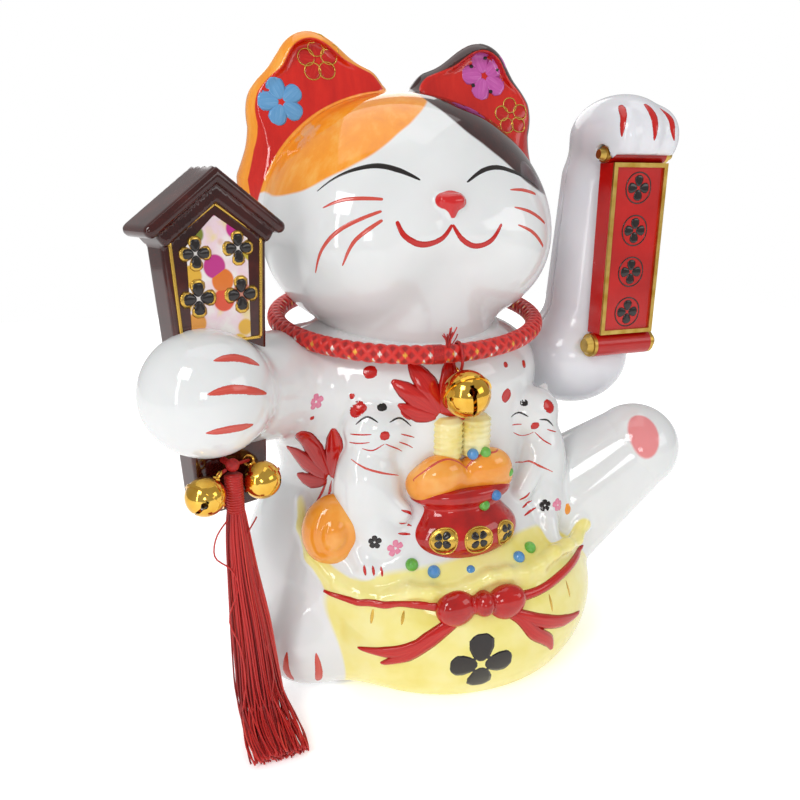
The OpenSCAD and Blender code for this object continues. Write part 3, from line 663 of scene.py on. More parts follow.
# The collar's middle line is an oval about this centre. Head and body meet on a sloping plane under it
COLLAR_WIDE, COLLAR_DEEP, COLLAR_Y, COLLAR_Z = 57, 48, 3, 148
SEAM_Z, SEAM_RISE, SEAM_LAP = 140.6, 0.16, 2.5
COVER_LOW, COVER_HIGH = box_of("base_cover")
COVER_GAP, POCKET_TOP = 0.3, 24


def head_part(p):
    """Head down to just under the seam's plane."""
    return np.maximum(head(p), SEAM_Z - SEAM_LAP - p[2] + SEAM_RISE * (p[1] + 45))


def torso_part(p):
    """Body up to the seam within the collar's oval, level at the foot, with the pocket for the base cover."""
    within = (np.sqrt((p[0] / COLLAR_WIDE) ** 2 + ((p[1] - COLLAR_Y) / COLLAR_DEEP) ** 2) - 1) * COLLAR_DEEP
    shape = np.maximum(join(torso(p), neck(p), 6), -np.maximum(SEAM_Z + SEAM_RISE * (p[1] + 45) - p[2], within))
    half, mid = (COVER_HIGH - COVER_LOW) / 2 + COVER_GAP, (COVER_HIGH + COVER_LOW) / 2
    pocket = np.maximum(np.abs(p[0] - mid[0]) - half[0], np.abs(p[1] - mid[1]) - half[1])
    return cut(cut(shape, np.maximum(pocket, p[2] - POCKET_TOP), 1.5), p[2] - 0.5, 1.5)


skin(head_part, (-82, -50, 136), (82, 60, 262), 1.25 * FINE, "cat_head", head_glaze, "body",
     {"ear_zone": ear_zone, "nose_zone": nose_zone}, replaced=["ceramic_body"])
skin(torso_part, (-120, -84, -4), (128, 72, 164), 1.35 * FINE, "cat_torso", body_glaze, "body",
     {"bag_zone": sack_gap, "pad_zone": pad_zone}, replaced=["ceramic_body"])


# ---- Waving arm ----


def meet(a, b, k):
    """Intersection with the edge rounded over a band k wide."""
    return -join(-a, -b, k)


def arm(p):
    """Moulded arm: a round root in the shoulder socket, a tapering limb and a paw bent forward, with a seat
    for the scroll."""
    x, y, z = PIVOT
    shape = egg(p, PIVOT, (26, 23, 23))
    shape = join(shape, limb(p, (90, y, z), (92, 0, 205), 20, 17), 6)
    shape = join(shape, egg(p, (91.8, -11, 222.6), (17.8, 25, 16.5)), 6)
    toes = egg(p, (82.4, -23, 221), (7.0, 12.5, 12))
    for k in (92, 101.4):
        toes = join(toes, egg(p, (k, -23.3, 221), (7.0, 12.5, 12)), 1.6)
    shape = join(shape, toes, 3)
    for z, r in ((214.4, 3.9), (133.7, 5.8)):
        shape = cut(shape, limb(p, (55, -22.8, z), (130, -22.8, z), r), 0.5)
    slot_box = np.maximum(np.maximum(np.abs(p[0] - 92.5) - 14, np.abs(p[1] + 33.3) - 15.2),
                          np.abs(p[2] - 174) - 40)
    return cut(shape, slot_box, 0.8)


def arm_front(p):
    """The arm before the plane through its pivot."""
    return meet(arm(p), p[1] - PIVOT[1] + 0.12, 0.7)


def arm_back(p):
    """The arm behind the plane through its pivot."""
    return meet(arm(p), PIVOT[1] + 0.12 - p[1], 0.7)


# Injection-moulded white ABS: a little softer in its gloss than the glaze beside it, and slightly bluer
arm_white = clouded([(0.3, "#dedee4"), (0.7, "#e8e8ec")], 0.04, 2.0)
arm_finish = porcelain("moulded_abs_gloss_white", arm_white, rough=0.16, coat=0.15)

for half, front, back in ((arm_front, -42, 5), (arm_back, 0, 30)):
    name = half.__name__
    skin(half, (54, front, 96), (124, back, 244), 1.1 * FINE, f"{name}_skin", arm_finish, "arm",
         replaced=[f"{name}_shell"])


# ---- Signboard ----

SIGN = np.array([-83.5, -42.0, 0.0])
TURN = math.radians(22)
SIGN_WIDE = np.array([math.cos(TURN), math.sin(TURN), 0.0])
SIGN_OUT = np.array([math.sin(TURN), -math.cos(TURN), 0.0])


def on_sign(u, z, out=0.0):
    """Point at width u and height z on the board's face."""
    return SIGN + SIGN_WIDE * u + SIGN_OUT * out + np.array([0, 0, z])


def sign_axes(p):
    """Distances across the board, out of its face and up."""
    dx, dy = p[0] - SIGN[0], p[1] - SIGN[1]
    return dx * SIGN_WIDE[0] + dy * SIGN_WIDE[1], dx * SIGN_OUT[0] + dy * SIGN_OUT[1], p[2]


def sign(p):
    """Gabled board, wider at its eaves, under a roof of two stepped mouldings, all with soft glazed edges."""
    u, v, z = sign_axes(p)
    wide = np.abs(u)
    down = wide * 0.805 - (z - 200) * 0.593
    above = (z - 200) * 0.805 + wide * 0.593
    board = meet(meet(wide - 13.5 - 5.5 * (z - 88) / 98, above, 2), 88.5 - z, 5)
    board = meet(board, np.abs(v + 6.5) - 6.5, 2.2)
    inner = meet(meet(np.abs(above + 0.5) - 2.5, down - 25.1, 1.5), np.abs(v + 6.2) - 8.2, 1.5)
    outer = meet(meet(np.abs(above - 3.9) - 2.2, down - 27.6, 2.5), np.abs(v + 6.25) - 9.9, 2.2)
    shape = join(join(board, inner, 0.6), outer, 0.6)
    hole = np.sqrt((u - 1.5) ** 2 + (z - 92.0) ** 2) - 1.6
    return cut(shape, hole, 0.5)


# Iron-brown glaze that breaks to a lighter red-brown where it runs thin
sign_brown = clouded([(0.3, "#2c0806"), (0.55, "#40100b"), (0.75, "#5c2015")], 0.07, 4.0, 0.6)
sign_finish = porcelain("glazed_porcelain_iron_brown", sign_brown, coat=0.15)
skin(sign, (-116, -62, 86), (-50, -20, 212), 0.85 * FINE, "signboard_skin", sign_finish, "body",
     replaced=["signboard"])


# ---- The treasure between the small cats ----


def pot(p):
    """Red pot with a waist: a squat belly, a neck drawn in, and a flaring lip with a soft edge."""
    belly = egg(p, (6.5, -43.5, 66), (24.5, 15.5, 12.5))
    neck = drum(p, (6.5, -42, 77.5), 16.5, 9.5, 5.5, 3)
    lip = drum(p, (6.5, -42, 83), 22, 12, 3.4, 3)
    return join(join(belly, neck, 4), lip, 3)


def ingots(p):
    """Heap of gold ingots: a boat with two upturned ends, one ingot at the left and one at the right."""
    boat = limb(p, (-9, -42, 87.5), (22, -41, 87.5), 8.2)
    boat = join(boat, egg(p, (-4.0, -45.5, 91.5), (11, 6.5, 8.6)), 2)
    boat = join(boat, egg(p, (16.6, -45, 91.8), (11, 6.5, 8.6)), 2)
    left = egg(p, (-44.5, -35, 69.5), (14, 9.5, 15.5))
    left = cut(left, egg(p, (-47, -47.5, 71), (7.5, 4.6, 9.5)), 2)
    left = join(left, egg(p, (-47, -42.5, 71), (5, 3, 6.4)), 1.2)
    right = join(egg(p, (66.5, -31, 66), (7.5, 8, 11)), egg(p, (60, -36, 62.5), (6, 6, 7)), 2)
    return np.minimum(np.minimum(boat, left), right)


def bundles(p):
    """Two bundles of paper scrolls standing side by side over the ingots."""
    pair = [drum(p, (x, -42.5, 105.5), 6.0, 5.0, 9.0, 2.5) + 0.18 * np.cos(p[2] * 2.6) for x in (0.2, 12.6)]
    return join(pair[0], pair[1], 0.8)


# The same clear glaze over coloured clay: deep red, orange that pools darker, and cream
pot_glaze, ingot_glaze, bundle_glaze = (
    porcelain(f"glazed_porcelain_{colour}", clouded(stops, scale)) for colour, scale, stops in (
        ("red", 0.12, [(0.3, "#a20e0a"), (0.6, "#bd150f"), (0.8, "#cf2a1e")]),
        ("orange", 0.09, [(0.25, "#e8861f"), (0.5, "#f19c36"), (0.8, "#f8bb68")]),
        ("cream", 0.12, [(0.3, "#f0dc7c"), (0.7, "#f7eeb8")])))
skin(pot, (-20, -62, 50), (34, -24, 89), 0.8 * FINE, "treasure_pot", pot_glaze, "body")
skin(ingots, (-60, -54, 53), (76, -20, 102), 0.9 * FINE, "gold_ingots", ingot_glaze, "body")
skin(bundles, (-9, -50, 90), (24, -33, 121), 0.8 * FINE, "scroll_bundles", bundle_glaze, "body")

# Jewels between the ingots and on the rim: small balls (x, y, z, radius) half sunk in the glaze
GREEN_GEMS = [(-18.9, -53.2, 58.7, 2.6), (32.9, -55.0, 57.4, 2.6), (14.6, -47.5, 99.5, 2.3),
              (12.6, -52.0, 78.8, 2.3),
              (25.5, -47.0, 89.5, 2.3)]
BLUE_GEMS = [(-10.9, -56.6, 55.8, 2.6), (25.9, -58.3, 56, 2.6), (8.9, -47.8, 99.6, 2.3), (17.5, -52.5, 82.5, 2.2),
             (4.0, -58.5, 54.5, 2.3)]
for label, gems, dark, light in (("green", GREEN_GEMS, "#4a9a2c", "#74bd52"),
                                 ("blue", BLUE_GEMS, "#3678ba", "#6aa8dc")):
    # Raised enamel bead: glassy, slightly mottled
    finish = porcelain(f"overglaze_enamel_bead_{label}", clouded([(0.3, dark), (0.7, light)], 0.12))
    skin(lambda p: np.minimum.reduce([egg(p, g[:3], (g[3],) * 3) for g in gems]),
         (-24, -64, 48), (38, -36, 103), 0.55 * FINE, f"{label}_gems", finish, "body")


# ---- Ribbon, bow and pleats of the bag ----

# Strokes as (points, widths): the band round the bag in two halves, then the bow's four tails
RIBBON = [([(-52, -42, 47.6), (-43.5, -49.8, 46.1), (-33.5, -57.1, 46.2), (-21.3, -60.5, 45.6),
            (-9.3, -64.6, 44.4), (3, -67, 44.4)],
           [1.2, 3.4, 3.8, 3.6, 4.2, 4.0]),
          ([(6, -67, 44.4), (19.5, -68, 44.3), (32, -66, 44), (45, -60.5, 45), (61, -48.8, 45), (68, -42, 45.6)],
           [4.0, 4.4, 3.8, 4.0, 3.8, 1.6]),
          ([(0, -67.5, 43), (-8.5, -67.4, 38), (-16.5, -66.1, 32.1), (-25.1, -62.3, 24.5), (-33, -56, 19)],
           [2.6, 5.5, 7.0, 6.4, 1.2]),
          ([(-1, -67, 41), (-12.2, -66.5, 35), (-22.3, -63.2, 28), (-31.9, -58, 25), (-41, -51, 25)],
           [2.4, 4.8, 6.4, 5.6, 0.9]),
          ([(9, -68, 43), (19.8, -70.3, 37), (27, -71, 28.9), (35, -69, 22), (38, -67.3, 15.8)],
           [2.4, 5.0, 6.6, 6.0, 1.0]),
          ([(10, -68, 43), (22, -70, 37), (33.5, -70, 31.4), (44, -65, 27), (56.5, -59, 24.5)],
           [2.4, 5.0, 6.4, 5.6, 0.9])]


def bow(p):
    """Bow moulded on the bag: two pinched loops and a round knot between them."""
    shape = egg(p, (5.4, -68.2, 45), (4.6, 5.4, 5.2))
    for s, z in ((-1, 43.6), (1, 43.2)):
        loop = egg(p, (5.2 + s * 10.4, -66.0 - (s > 0) * 1.8, z), (8.4, 5.2, 7.4))
        inside, outside = (5.2 + s * 3, -67, 44.2), (5.2 + s * 14, -66.5 - (s > 0) * 1.8, z + 1.5)
        shape = join(shape, join(loop, limb(p, inside, outside, 2.2, 4.0), 2), 1.2)
    return shape


skin(bow, (-19, -79, 33), (30, -56, 54), 0.7 * FINE, "bag_bow", pot_glaze, "body")


# ---- Overglaze painting ----


def brushed(name, stops, rough=0.12, metal=0.0):
    """Overglaze enamel laid on with a brush: a thin film, darker where it pools at its rim, with hair streaks."""
    made, tree, shader = material(name)
    across, along = (node(tree, "Attribute", "Fac", attribute_name=way) for way in ("across", "along"))
    rim = node(tree, "Math", operation="POWER", i0=node(tree, "Math", operation="ABSOLUTE", i0=across), i1=3.0)
    lines = node(tree, "CombineXYZ", X=node(tree, "Math", operation="MULTIPLY", i0=across, i1=3.0),
                 Y=node(tree, "Math", operation="MULTIPLY", i0=along, i1=0.9))
    hairs = node(tree, "TexNoise", Scale=1.6, Detail=3.0, Vector=lines)
    tone = node(tree, "Math", operation="MULTIPLY", i0=hairs, i1=0.9)
    tone = node(tree, "Math", operation="MULTIPLY_ADD", use_clamp=True, i0=rim, i1=-0.3, i2=tone)
    fill(shader, Base_Color=node(tree, "ValToRGB", stops=stops, Fac=tone), Roughness=rough, Metallic=metal,
         Coat_Weight=0.15, Coat_Roughness=0.04)
    return made


red_enamel = brushed("overglaze_enamel_red", [(0.1, "#a50f0c"), (0.45, "#c41a14"), (0.85, "#d6382c")])
rose_enamel = brushed("overglaze_enamel_thin_red", [(0.1, "#c23628"), (0.5, "#d45548"), (0.85, "#e28478")])
black_enamel = brushed("overglaze_enamel_black", [(0.1, "#120d0c"), (0.8, "#2a2220")])
orchid_enamel = brushed("overglaze_enamel_orchid", [(0.1, "#b33f97"), (0.5, "#cf62b4"), (0.9, "#e59fd6")])
pink_enamel = brushed("overglaze_enamel_pink", [(0.1, "#d9688a"), (0.5, "#e58aa6"), (0.9, "#f0b6c6")])
blue_enamel = brushed("overglaze_enamel_light_blue", [(0.1, "#4f8fc6"), (0.5, "#6aa5d6"), (0.9, "#a5cbe8")])
# Bright gold is a fired film of metal, a little duller than plating
gold_enamel = brushed("overglaze_bright_gold", [(0.1, "#c79a3a"), (0.8, "#e2bd5c")], 0.22, 0.85)

# Face: two smiling eyes, whiskers, and the long smiling mouth
EYES = [([(-46, -27, 199.6), (-40, -29, 204), (-33, -31, 207), (-25, -33, 208.2), (-18, -36, 207),
          (-10.5, -38, 203.6)],
         [0.4, 1.0, 1.7, 2.5, 2.4, 0.8]),
        ([(7.5, -38, 202.6), (15, -36, 207), (22, -34, 208.2), (29, -33, 207.2), (36, -31, 204.6),
          (43, -28, 200.4)],
         [0.8, 2.0, 2.3, 2.2, 1.8, 0.5])]
WHISKERS = [[(-45, -31, 194), (-38, -35, 197), (-25, -39, 197)],
            [(-48, -29, 171), (-46, -33, 180), (-40, -37, 187), (-26, -40, 193)],
            [(-40, -37, 174), (-36, -40, 183), (-26, -41, 190)],
            [(26, -37, 200), (33, -36, 200.4), (40, -32, 198.4)],
            [(27, -40, 194), (35, -38, 192), (44, -34, 187.5)],
            [(28, -41, 187.5), (36, -40, 184.5), (43.5, -36, 178.5)]]
MOUTH = [(-21, -42, 189.6), (-18.3, -43, 184.4), (-11.5, -43, 181.2), (-4, -43, 183), (0.4, -42.5, 188.2)]
MOUTH_RIGHT = [(0.4, -42.5, 188.2), (4.3, -43, 182.7), (9.9, -43, 180), (16, -43, 182), (20.6, -42, 188)]

paint("face_eyes", EYES, head, black_enamel)
paint("face_whiskers", [(w, [0.5, 1.2, 1.6, 1.7, 1.2]) for w in WHISKERS], head, rose_enamel)
SMILE = [(MOUTH, [1.6, 2.4, 2.6, 2.2, 1.3]), (MOUTH_RIGHT, [1.3, 2.2, 2.4, 2.2, 1.2])]
paint("face_mouth", SMILE, head, red_enamel)

# Claws: three on the holding paw, two on the foot, three on the waving paw
PAW_CLAWS = [[(-89.4, -63.6, 149.2), (-82.2, -61.5, 149.2), (-74.2, -58.1, 145.4)],
             [(-92.4, -68.3, 139.8), (-83.9, -67.2, 140.4), (-72.6, -60.9, 136.2)],
             [(-93.8, -67.7, 127.2), (-86.3, -67.4, 127.5), (-78.2, -64.3, 127)]]
FOOT_CLAWS = [[(-68.1, -42.9, 23.6), (-69, -42.6, 14), (-67.4, -42.4, 5.6)],
              [(-57.2, -46.8, 23.2), (-56.2, -46.3, 13.6), (-56.6, -46, 5)]]
paint("paw_claws", [(c, [0.4, 2.6, 3.4, 3.0, 0.6]) for c in PAW_CLAWS] + [(c,
    [0.5, 2.6, 3.6, 3.4, 1.2]) for c in FOOT_CLAWS], torso,
      rose_enamel)
ARM_CLAWS = [([(80.5, -26, 234.5), (78.6, -31.4, 229), (76.6, -33.6, 220.5)], [1.6, 3.4, 3.2, 2.4, 0.5]),
             ([(89.5, -31, 235.5), (90.8, -34.9, 229), (91.2, -35, 219.5)], [1.2, 3.0, 3.6, 3.0, 0.5]),
             ([(97.5, -31, 233.5), (100.2, -33, 227), (101.4, -31.5, 220)], [0.8, 2.6, 3.2, 2.8, 0.5])]
paint("arm_claws", ARM_CLAWS, arm_front, red_enamel, body="arm")

paint("bag_ribbon", RIBBON, torso, red_enamel, lift=0.9)
PLEATS = [[(-35.7, -54.9, 43.5), (-36.5, -54.7, 37)], [(-24.3, -59, 43), (-25.6, -60.1, 37.5)],
          [(36.3, -65.5, 41), (37, -67.2, 34)],
          [(47.7, -60.3, 42), (48.8, -62.2, 35)]]
paint("bag_pleats", [leaf(a, b, 1.6) for a, b in PLEATS], torso, gold_enamel)

# Flowers painted on the chest: two tufts of leaf-shaped petals, dots and small blossoms
LEAVES = [leaf((-14.5, -37.6, 137), (-3.5, -42.9, 116.5), 9.6, (-8.8, -41.8, 128.2)),
          leaf((-22, -39, 130.4), (-3.9, -42.9, 116.4), 9.3, (-12, -42.1, 122.6)),
          leaf((1.6, -39.2, 137.4), (-3.2, -42.9, 117), 9.6, (0.6, -42.5, 127.7)),
          leaf((10.6, -42.4, 113.6), (-3.6, -42.9, 118), 7.8, (3, -42.9, 117.6)),
          leaf((-20, -40, 121), (-5, -43, 115.4), 7.1, (-12, -42, 116.8)),
          leaf((-56, -25.5, 110), (-45, -27, 90), 10.2, (-51.5, -24.8, 100)),
          leaf((-43, -29.3, 110.4), (-43.6, -28, 89), 9.9, (-42.2, -28.6, 99.8)),
          leaf((-60, -13, 98), (-45.5, -26, 88.8), 9.9, (-53.4, -19, 93.6)),
          leaf((-59, -14, 86), (-46.5, -26, 87), 7.1, (-52, -20, 85.4)),
          leaf((6, -44, 119.5), (6.6, -45, 111), 7.5, (6.2, -45, 115))]
paint("chest_petals", LEAVES, torso, red_enamel, lift=0.6)
VEINS = [leaf((-44.4, -27.8, 88.4), (-43.5, -24, 78), 1.6), leaf((-46.4, -26.8, 88), (-49.5, -23, 77), 1.4)]
DOTS = [spot((-29.2, -34.3, 133.3), 3.0), spot((18.6, -35.4, 137.7), 2.4), spot((40.8, -29.2, 129.5), 2.0),
        spot((-36, -33, 124), 1.3),
        spot((-52, -27, 116.5), 1.2), spot((28, -34, 131), 1.4)]
paint("chest_dots", DOTS + VEINS, torso, red_enamel)
paint("chest_blossoms", blossom((-49.8, -30.5, 122.4), 3.4) + blossom((-24.5, -47.6, 64.8), 3.4)
      + blossom((53.2, -43.1, 68.3), 3.2), torso, pink_enamel)
dark_flowers = blossom((-32.4, -47.7, 68.4), 2.8) + blossom((46.4, -43.6, 69.4), 2.8)
paint("small_blossoms", dark_flowers, torso, black_enamel)

# The small cats: red inner ears, a dark spot on the brow, smiling eyes, nose, mouth, whiskers and claws
CAT_FINE = [[(-36.9, -39.6, 114.6), (-32.6, -40.5, 117.4), (-29, -43, 115.6)],
            [(-24.6, -43.5, 115.3), (-19.9, -42.3, 116.2), (-15.2, -42.1, 112.3)],
            [(32, -35.7, 108.7), (36.4, -34.7, 110), (40.2, -36.1, 108.2)],
            [(45.2, -37, 106.6), (49.2, -36.5, 105.8), (53.4, -35.3, 102.2)]]
paint("cat_eyes", [(s, [0.3, 0.8, 0.9, 0.8, 0.3]) for s in CAT_FINE], torso, black_enamel, lift=0.12)
CAT_RED = [[(-35.1, -41.5, 105.4), (-31.1, -43, 104.6), (-26.9, -43.9, 107)],
           [(-26.4, -43.9, 107), (-22.6, -43, 104.7), (-18.4, -41, 101.8)],
           [(-38.8, -38.4, 110.7), (-31.8, -43.5, 111.3)], [(-39, -37.2, 107), (-32.5, -43.1, 108)],
           [(-20, -43.8, 110.2), (-13.6, -41.9, 107.3)],
           [(-20.7, -43.4, 106.9), (-14.2, -41.7, 103)],
           [(34.2, -34.7, 101.4), (39.4, -33.1, 98.7), (43.6, -35.6, 100.7)],
           [(44, -35.6, 100.6), (48, -36.9, 96.8), (51.1, -38.7, 95)], [(32.4, -34, 105), (37.6, -36, 104.6)],
           [(49.5, -35.5, 101.6), (54.5, -34, 98.6)]]
paint("cat_whiskers", [(s, [0.3, 0.7, 0.7, 0.3]) for s in CAT_RED], torso, red_enamel)
CAT_SPOTS = [spot((-34.6, -36, 119), 3.6, (1, 0, 0.7)), spot((-16, -41.6, 118), 3.4, (1, 0, -0.8)),
             spot((28.5, -37, 119), 3.2, (1, 0, 0.7)),
             spot((50.4, -35, 111.4), 3.2, (1, 0, -1)), spot((-26.8, -44.5, 110.4), 2.0),
             spot((43.5, -36.5, 103.8), 2.0)]
paint("cat_ears_noses", CAT_SPOTS, torso, red_enamel)
paint("cat_brow_spots", [spot((-26.3, -39.7, 120.4), 2.0), spot((39, -34, 114), 1.8)], torso, black_enamel)
CAT_CLAWS = [[(-21.5, -48.1, 80.4), (-15.8, -45.1, 76)], [(-22.3, -47.3, 74.9), (-16.4, -46.7, 72)],
             [(-23, -48.3, 70.6), (-17.4, -48.1, 69.2)],
             [(34.4, -42.1, 73), (39, -43.4, 76.5)], [(35.4, -43, 69.7), (41.5, -40.8, 71.4)],
             [(35.4, -45, 66.9), (42.8, -42.3, 68.4)],
             [(-37.4, -49.1, 60), (-37, -49.8, 55.4)], [(-34, -49.9, 59.4), (-33.6, -50.6, 54.8)],
             [(-30.7, -50, 58.6), (-30.6, -51.5, 54.8)]]
paint("cat_claws", [leaf(a, b, 1.4) for a, b in CAT_CLAWS], torso, red_enamel)
CAT_ARMS = [[(-39.1, -39.9, 101), (-34.8, -44.1, 98.3), (-28.3, -45.2, 95.8), (-20.5, -41.1, 92)],
            [(36.8, -32.8, 86.4), (41, -36.5, 88.1), (44.7, -40.3, 86.7), (51.6, -40, 82.9)]]
paint("cat_arm_lines", [(s, [0.3, 0.9, 1.0, 0.3]) for s in CAT_ARMS], torso, rose_enamel)

# Three coins on the pot's belly, each a gold ring round a gold disc with a dark four-petalled flower
COINS = [(-7.4, -56.5, 68.6), (7.6, -59, 67.6), (22.4, -56.5, 67.2)]
paint("pot_coin_discs", [spot(c, 6.0) for c in COINS], pot, gold_enamel, lift=0.25)
paint("pot_coin_rings", [circle(c, 6.2, 0.8) for c in COINS], pot, gold_enamel, lift=0.55)
paint("pot_coin_flowers", [s for c in COINS for s in blossom(c, 4.3, 4, 0.785)], pot, black_enamel, lift=0.5)
paint("ingot_lines", [(s, [0.4, 1.0, 1.0, 0.4]) for s in (
    [(-11.5, -45, 90), (-8, -47, 95.5), (-2, -47, 97), (3.8, -46, 92)],
    [(7, -46, 92), (11, -47, 96.8), (17, -46.5, 97), (22.5, -43, 91)],
    [(-53, -33, 62), (-57, -30, 71), (-53, -33, 80)], [(-9, -45, 84.5), (4, -46, 83), (20, -44, 84.5)])], ingots,
    rose_enamel, lift=0.15)

# Motif on the bag's front: a dark knot of four petals round a ring, in place of a written sign
KNOT = (3.6, -72, 20)
petals = blossom(KNOT, 13.2, 4, up=Z_WAY * 1.05)
paint("bag_knot", [circle(KNOT, 4.2, 1.8, 17)] + petals, torso, black_enamel, lift=0.15)

# Ears: blossoms laid in the hollows, gold-edged
EAR_L, EAR_R = (-34, 14, 249), (38.7, 13.4, 247)
for label, centre, r, finish in (("blue", (-50, 10.5, 233), 9.2, blue_enamel),
                                 ("orchid", EAR_R, 10.4, orchid_enamel)):
    paint(f"ear_blossom_{label}", blossom(centre, r, turn=0.3), head, finish, lift=0.15)
paint("ear_blossom_dots", [spot(np.array(EAR_R) + [7.0 * math.cos(k), 0, 7.0 * math.sin(k)], 0.9)
                           for k in (0.4, 1.5, 2.6, 3.8, 5.1)], head, black_enamel, lift=0.35)
for label, centre, r in (("left", EAR_L, 8.0), ("right", (50.8, 10.1, 231), 7.6)):
    paint(f"ear_blossom_{label}", blossom(centre, r, turn=0.1), head, red_enamel, lift=0.15)
    ways = [0.1 + k * 1.2566 + 1.5708 for k in range(5)]
    rims = [circle(centre + r * 0.62 * np.array([math.cos(w), 0, math.sin(w)]), r * 0.42, 0.55, 9) for w in ways]
    paint(f"ear_blossom_{label}_gold", rims, head, gold_enamel, lift=0.3)


# ---- Picture and gold line on the signboard ----


# Ceramic transfer: flowers in clear colours, printed in spots 8 mm apart on a pale ground, under clear glaze
transfer, tree, shader = material("overglaze_flower_transfer")
place = where(tree)
far = node(tree, "TexVoronoi", "Distance", Scale=0.115, Randomness=1.0, Vector=place)
tint = node(tree, "SeparateColor", Color=far.node.outputs["Color"])
flower = node(tree, "ValToRGB", Fac=tint, stops=[(0.1, "#d42a86"), (0.25, "#c2248c"), (0.4, "#e9b92c"),
                                                 (0.55, "#e2471f"), (0.72, "#4f8f2e"), (0.85, "#f0c33a")])
ground = clouded([(0.35, "#f6f0ec"), (0.55, "#f2d6e0"), (0.72, "#f0dc7a")], 0.12)(tree, place)
fill(shader, Base_Color=over(tree, flower, ground, far, 0.42, 0.5), Roughness=0.12, Coat_Weight=0.5)

# The picture is a thin plate, its outline in (width, height) on the board's face
PICTURE = [(-11.5, 151.0), (10.2, 151.0), (11.2, 184.6), (-0.6, 192.4), (-11.0, 183.0)]
PICTURE_FRONT, PICTURE_BACK = 0.15, -0.15
points, faces = solid_grid(np.array([[on_sign(u, z, out) for u,
                                      z in PICTURE] for out in (PICTURE_BACK, PICTURE_FRONT)]))
piece("sign_picture", points, faces, transfer, "body", smooth=False)


def sign_face(p):
    """The board's flat face, drawn out by 0.15."""
    return sign_axes(p)[1] - 0.15


BORDER = [(-14.9, 150.5), (14.2, 150.5), (16.4, 184.9), (0, 196.0), (-16.4, 184.9), (-14.9, 150.5)]
outline = [on_sign(u, z) for u, z in BORDER]
edges = [([a, (a + b) / 2, b], [1.3] * 3) for a, b in zip(outline[:-1], outline[1:])]
paint("sign_gold_line", edges, sign_face, gold_enamel, lift=0.45)
KNOTS = [(-8.2, 166, 6.4), (7.6, 166, 6.4), (-8.0, 180.5, 5.6), (7.4, 181.5, 5.8)]
for name, part, finish, lift in (("sign_knots_gold", 1.0, gold_enamel, 0.5),
                                 ("sign_knots", 0.86, black_enamel, 0.75)):
    flowers = [s for u, z, r in KNOTS for s in blossom(on_sign(u, z), r * part, 4, right=SIGN_WIDE)]
    paint(name, flowers, sign_face, finish, lift=lift)


# ---- Scroll on the waving arm ----

FACE_Y = box_of("scroll_panel")[0][1]


def scroll_face(p):
    """The panel's flat front."""
    return FACE_Y - p[1]


SPOTS = [(92.5, FACE_Y, z) for z in (201, 183.5, 166, 148.5)]
marks = [s for c in SPOTS for s in blossom(c, 5.2, 4)] + [circle(c, 6.3, 0.6) for c in SPOTS]
paint("scroll_flowers", marks, scroll_face, black_enamel, body="arm", lift=0.3)
# ---- Collar: braided cord, thread tie ----

# The cord's middle line is a tilted oval. Two families of strands cross as they wind round it, one each way
RING_POINTS, CORD_POINTS, CROSSINGS, STRANDS = 1500, 30, 78, 4
CORD_R, STRAND_RELIEF, TILT = 3.45, 0.3, math.radians(9)
a = np.linspace(0, 2 * np.pi, RING_POINTS, endpoint=False)
ring_path = np.stack([COLLAR_WIDE * np.sin(a), COLLAR_Y - COLLAR_DEEP * np.cos(a) * math.cos(TILT),
                      COLLAR_Z - COLLAR_DEEP * np.cos(a) * math.sin(TILT)], 1)
around, a = np.linspace(0, 2 * np.pi, CORD_POINTS, endpoint=False)[None], a[:, None]
one_way, other_way = (np.cos(STRANDS * around + way * CROSSINGS * a) for way in (1, -1))
relief = np.maximum(one_way, other_way)
side, top = frames(ring_path, (0, 0.15, 1))
outwards = np.cos(around)[..., None] * side[:, None] + np.sin(around)[..., None] * top[:, None]
braid = ring_path[:, None] + (CORD_R + STRAND_RELIEF * relief)[..., None] * outwards
gilt = np.clip((one_way - 0.35) / 0.2, 0, 1) * np.clip((other_way - 0.3) / 0.2, 0,
                                                       1) * (np.cos(2 * around + 0.6) > 0)
gilt *= np.cos(0.5 * CROSSINGS * a + 0.7) > 0.25
silver = np.cos(0.25 * CROSSINGS * a + around) > 0

# Braided satin cord: strands cross every 4 mm, and short gold and silver threads lie on those that run one way.
# Its red carries painted shade: darker in the grooves between the strands and lighter on their crowns
braid_finish, tree, shader = material("braided_satin_cord_red_with_metal_thread")
height, gilt_amount, silvered = (node(tree, "Attribute", "Fac",
                                      attribute_name=key) for key in ("relief", "gilt", "silver"))
# Red by the strands' height: painted shade in the grooves between strands, a lighter red on their crowns
red = node(tree, "ValToRGB", stops=[(0.0, "#a00f0c"), (0.4, "#c81712"), (1.0, "#da2a20")], Fac=height)
metal = node(tree, "Mix", 2, data_type="RGBA", i0=silvered, i6="#e9b048", i7="#e8e4dc")
fuzz = node(tree, "TexNoise", Scale=2.2, Detail=2.0, Vector=where(tree))
fill(shader, Base_Color=node(tree, "Mix", 2, data_type="RGBA", i0=gilt_amount, i6=red, i7=metal), Roughness=0.38,
     Metallic=node(tree, "Math", operation="MULTIPLY", i0=gilt_amount, i1=0.8), Sheen_Weight=0.08,
     Normal=node(tree, "Bump", Strength=0.5, Distance=0.1 * MM, Height=fuzz))
points = braid.reshape(-1, 3)
faces = sheet_faces(RING_POINTS, CORD_POINTS, closed_rows=True)
if volume(points, faces) < 0:
    faces = faces[:, ::-1]
# relief sets the red's painted groove shade as well as the strands' height
piece("collar_braid", points, faces.tolist(), braid_finish, "body", replaced=["collar_cord"],
      values={"relief": (relief + 0.3) / 1.3, "gilt": gilt, "silver": silver})

